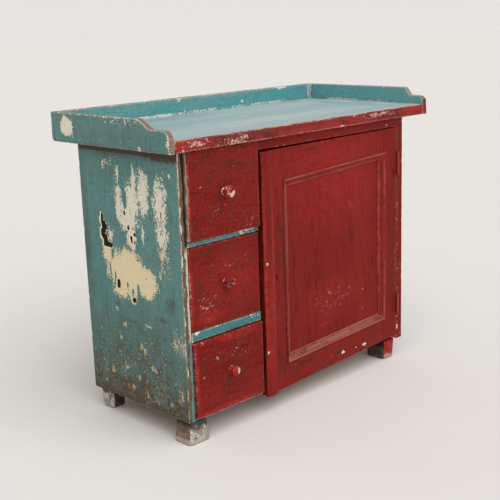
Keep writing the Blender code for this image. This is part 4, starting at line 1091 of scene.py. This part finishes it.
def round_front(shape, rounding, ways):
    """Round the worn arrises of a shape's front face."""
    front = min(vert.co.y for vert in shape.verts)
    arrises = [edge for edge in shape.edges
               if all(vert.co.y < front + WELD for vert in edge.verts)
               and edge.calc_length() > SHORT_ARRIS * rounding and is_outer(edge, ways)]
    soften(shape, arrises, rounding)


class SIDEBOARD_OT_door(bpy.types.Operator):
    """Stiles, rails, panel and cover strip of the door, and the nail through the strip"""
    bl_idname = "sideboard.door"
    bl_label = "Door"

    def execute(self, context):
        outer_ways = {
            "door_lock_stile": (LEFTWARD, UPWARD, DOWNWARD),
            "door_hinge_stile": (RIGHTWARD, UPWARD, DOWNWARD),
            "door_top_rail": (UPWARD,),
            "door_bottom_rail": (DOWNWARD,),
            "door_cover_strip": None,
        }
        for node, ways in outer_ways.items():
            shape = solid_shape(node)
            round_front(shape, context.scene.sideboard_wear.rounding, ways)
            back, front = ("pine_x", "red_rail") if "rail" in node else ("pine_z", "red")
            faces = [Face(back, BACKWARD, 0.9), Face(front)]
            if node == "door_cover_strip":
                # The strip's left face takes the brighter red: wear and painted light
                faces.insert(0, Face("lit_strip_end", LEFTWARD, 0.7))
            dress(context, node, "door", "red_paint", shape, faces, loss=0.02, ways=ways)
        dress(context, "door_panel", "door", "red_paint", solid_shape("door_panel"),
              [Face("red_panel", FRONTWARD), Face("pine_z")], loss=0.0, ways=())
        self.nail(context)
        return {'FINISHED'}

    def nail(self, context):
        """A low domed head on the strip's front, with its shank just inside the wood."""
        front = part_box("door_cover_strip")[0].y
        profile = [(0.0, front + NAIL_SINK), (NAIL_RADIUS, front + NAIL_SINK)]
        profile += [(NAIL_RADIUS * out, front - NAIL_RISE * up) for out, up in NAIL_DOME]
        mesh = mesh_of(turned_shape(Vector((NAIL_ACROSS, front, NAIL_UP)), profile), "strip_nail")
        mesh.shade_smooth()
        mesh.materials.append(finishes(context)["nail"])
        piece = put(context, "strip_nail", mesh)
        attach(piece, "door")


class SIDEBOARD_OT_mouldings(bpy.types.Operator):
    """Mitred moulding round the panel"""
    bl_idname = "sideboard.mouldings"
    bl_label = "Mouldings"

    def execute(self, context):
        level = (0, [Face("moulding_bottom", UPWARD, 0.5), Face("moulding_level")])
        upright = (2, [Face("moulding_side")])
        lengths = {"top": level, "bottom": level, "left": upright, "right": upright}
        for side, (axis, faces) in lengths.items():
            node = f"door_moulding_{side}"
            dress(context, node, "door", "red_paint", solid_shape(node), faces, loss=0.06, nick=MOULDING_NICK,
                  axes=(axis,))
        return {'FINISHED'}


class SIDEBOARD_OT_feet(bpy.types.Operator):
    """Block feet"""
    bl_idname = "sideboard.feet"
    bl_label = "Feet"

    def execute(self, context):
        # foot_dark goes on the foot faces that lie in shade: painted shade, with some dirt
        right = [Face("foot_dark", LEFTWARD, 0.6), Face("foot_red")]
        coats = {
            "front_left": [Face("foot_brown", LEFTWARD, 0.7), Face("foot_pale", FRONTWARD),
                           Face("foot_dark")],
            "back_left": [Face("foot_pale", LEFTWARD), Face("foot_dark")],
            "front_right": right,
            "back_right": right,
        }
        for corner, faces in coats.items():
            node = f"foot_{corner}"
            dress(context, node, "carcass", "worn_foot", solid_shape(node), faces, wobble=FOOT_WOBBLE)
        return {'FINISHED'}


class SIDEBOARD_OT_inside(bpy.types.Operator):
    """Pine on the boards inside, and iron and brass on the hinges and lock"""
    bl_idname = "sideboard.inside"
    bl_label = "Inside and metalwork"

    def execute(self, context):
        grains = {
            "partition": ["centre_partition"],
            "pine_z": ["back_plank_1", "back_plank_2", "back_plank_3"],
            "pine_x": ["bottom_board", "shelf"],
            "pine_y": ["shelf_cleat_left", "shelf_cleat_right"],
            "iron": ["lock_case"],
            "brass": ["lock_bolt"],
            "hinge": [],
        }
        for level in ("upper", "lower"):
            grains["pine_y"] += [f"runner_{level}_left", f"runner_{level}_right"]
            grains["hinge"] += [f"hinge_{level}_fixed_leaf", f"hinge_{level}_door_leaf"]
        for drawer in ("drawer_top", "drawer_middle", "drawer_bottom"):
            grains["pine_y"] += [f"{drawer}_side_left", f"{drawer}_side_right"]
            grains["pine_x"] += [f"{drawer}_back", f"{drawer}_bottom"]
        for name, nodes in grains.items():
            for node in nodes:
                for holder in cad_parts[node].material_slots:
                    holder.material = finishes(context)[name]
        return {'FINISHED'}


class SIDEBOARD_OT_stage(bpy.types.Operator):
    """Pale floor, soft light and the camera"""
    bl_idname = "sideboard.stage"
    bl_label = "Stage"

    def execute(self, context):
        stage = context.scene.sideboard_stage
        self.floor(context, tuple(stage.floor))
        lamp = bpy.data.lights.new("key", 'SUN')
        lamp.energy = stage.key_strength
        lamp.angle = stage.key_spread
        key = put(context, "key", lamp)
        key.rotation_euler = Vector(stage.key_from).to_track_quat('Z', 'Y').to_euler()
        self.surroundings(context, stage)
        camera = bpy.data.cameras.new("camera")
        camera.lens = stage.lens
        camera.sensor_width = SENSOR_WIDTH
        viewer = put(context, "camera", camera)
        viewer.location = stage.eye
        turn = Matrix.Rotation(-stage.yaw, 3, 'Z') @ Matrix.Rotation(math.pi / 2 - stage.pitch, 3, 'X')
        viewer.rotation_euler = (turn @ Matrix.Rotation(stage.roll, 3, 'Z')).to_euler()
        context.scene.camera = viewer
        context.scene.view_settings.view_transform = 'Standard'
        return {'FINISHED'}

    def floor(self, context, colour):
        """A wide floor, slightly mottled."""
        shape = bmesh.new()
        bmesh.ops.create_grid(shape, x_segments=1, y_segments=1, size=FLOOR_HALF)
        mesh = mesh_of(shape, "floor")
        finish = Finish("floor")
        mottle = finish.noise(3.0, EVEN, 3.0)
        tone = finish.mix(mottle, shade(colour, 0.98), shade(colour, 1.02))
        mesh.materials.append(finish.surface(tone, 0.9, 0.1))
        put(context, "floor", mesh)

    def surroundings(self, context, stage):
        """Even light all round, and the floor's colour where the camera or a gloss sees past the floor."""
        world = bpy.data.worlds.new("surroundings")
        world.use_nodes = True
        context.scene.world = world
        nodes = Nodes(world.node_tree)
        soft = world.node_tree.nodes["Background"]
        nodes.feed(soft, {"Color": (1.0, 0.99, 0.97), "Strength": stage.ambient})
        seen = nodes.add("Background", {"Color": stage.floor})
        rays = nodes.add("LightPath").outputs
        looks = nodes.calc('MAXIMUM', rays["Is Camera Ray"], rays["Is Glossy Ray"])
        looks = nodes.calc('MAXIMUM', looks, rays["Is Transmission Ray"])
        share = nodes.add("MixShader", {0: looks, 1: soft.outputs[0], 2: seen.outputs[0]})
        nodes.feed(world.node_tree.nodes["World Output"], {"Surface": share.outputs[0]})


class SIDEBOARD_PT_sidebar(bpy.types.Panel):
    """Settings and steps of the sideboard"""
    bl_idname = "SIDEBOARD_PT_sidebar"
    bl_label = "Sideboard"
    bl_space_type = 'VIEW_3D'
    bl_region_type = 'UI'
    bl_category = "Sideboard"

    def draw(self, context):
        for group in SETTINGS:
            settings = getattr(context.scene, group)
            column = self.layout.column(align=True)
            for name in settings.__annotations__:
                column.prop(settings, name)
        for step in STEPS:
            self.layout.operator(step.bl_idname)


STEPS = (SIDEBOARD_OT_carcass, SIDEBOARD_OT_top, SIDEBOARD_OT_drawer_fronts, SIDEBOARD_OT_knobs,
         SIDEBOARD_OT_door, SIDEBOARD_OT_mouldings, SIDEBOARD_OT_feet, SIDEBOARD_OT_inside,
         SIDEBOARD_OT_stage)
SETTINGS = {"sideboard_paint": SideboardPaint, "sideboard_wear": SideboardWear,
            "sideboard_stage": SideboardStage}


def register():
    for kind in (*SETTINGS.values(), *STEPS, SIDEBOARD_PT_sidebar):
        bpy.utils.register_class(kind)
    for name, kind in SETTINGS.items():
        setattr(bpy.types.Scene, name, PointerProperty(type=kind))


def unregister():
    for name in SETTINGS:
        delattr(bpy.types.Scene, name)
    for kind in reversed((*SETTINGS.values(), *STEPS, SIDEBOARD_PT_sidebar)):
        bpy.utils.unregister_class(kind)


def main():
    register()
    bpy.ops.sideboard.carcass()
    bpy.ops.sideboard.top()
    bpy.ops.sideboard.drawer_fronts()
    bpy.ops.sideboard.knobs()
    bpy.ops.sideboard.door()
    bpy.ops.sideboard.mouldings()
    bpy.ops.sideboard.feet()
    bpy.ops.sideboard.inside()
    bpy.ops.sideboard.stage()


if __name__ == "__main__":
    main()
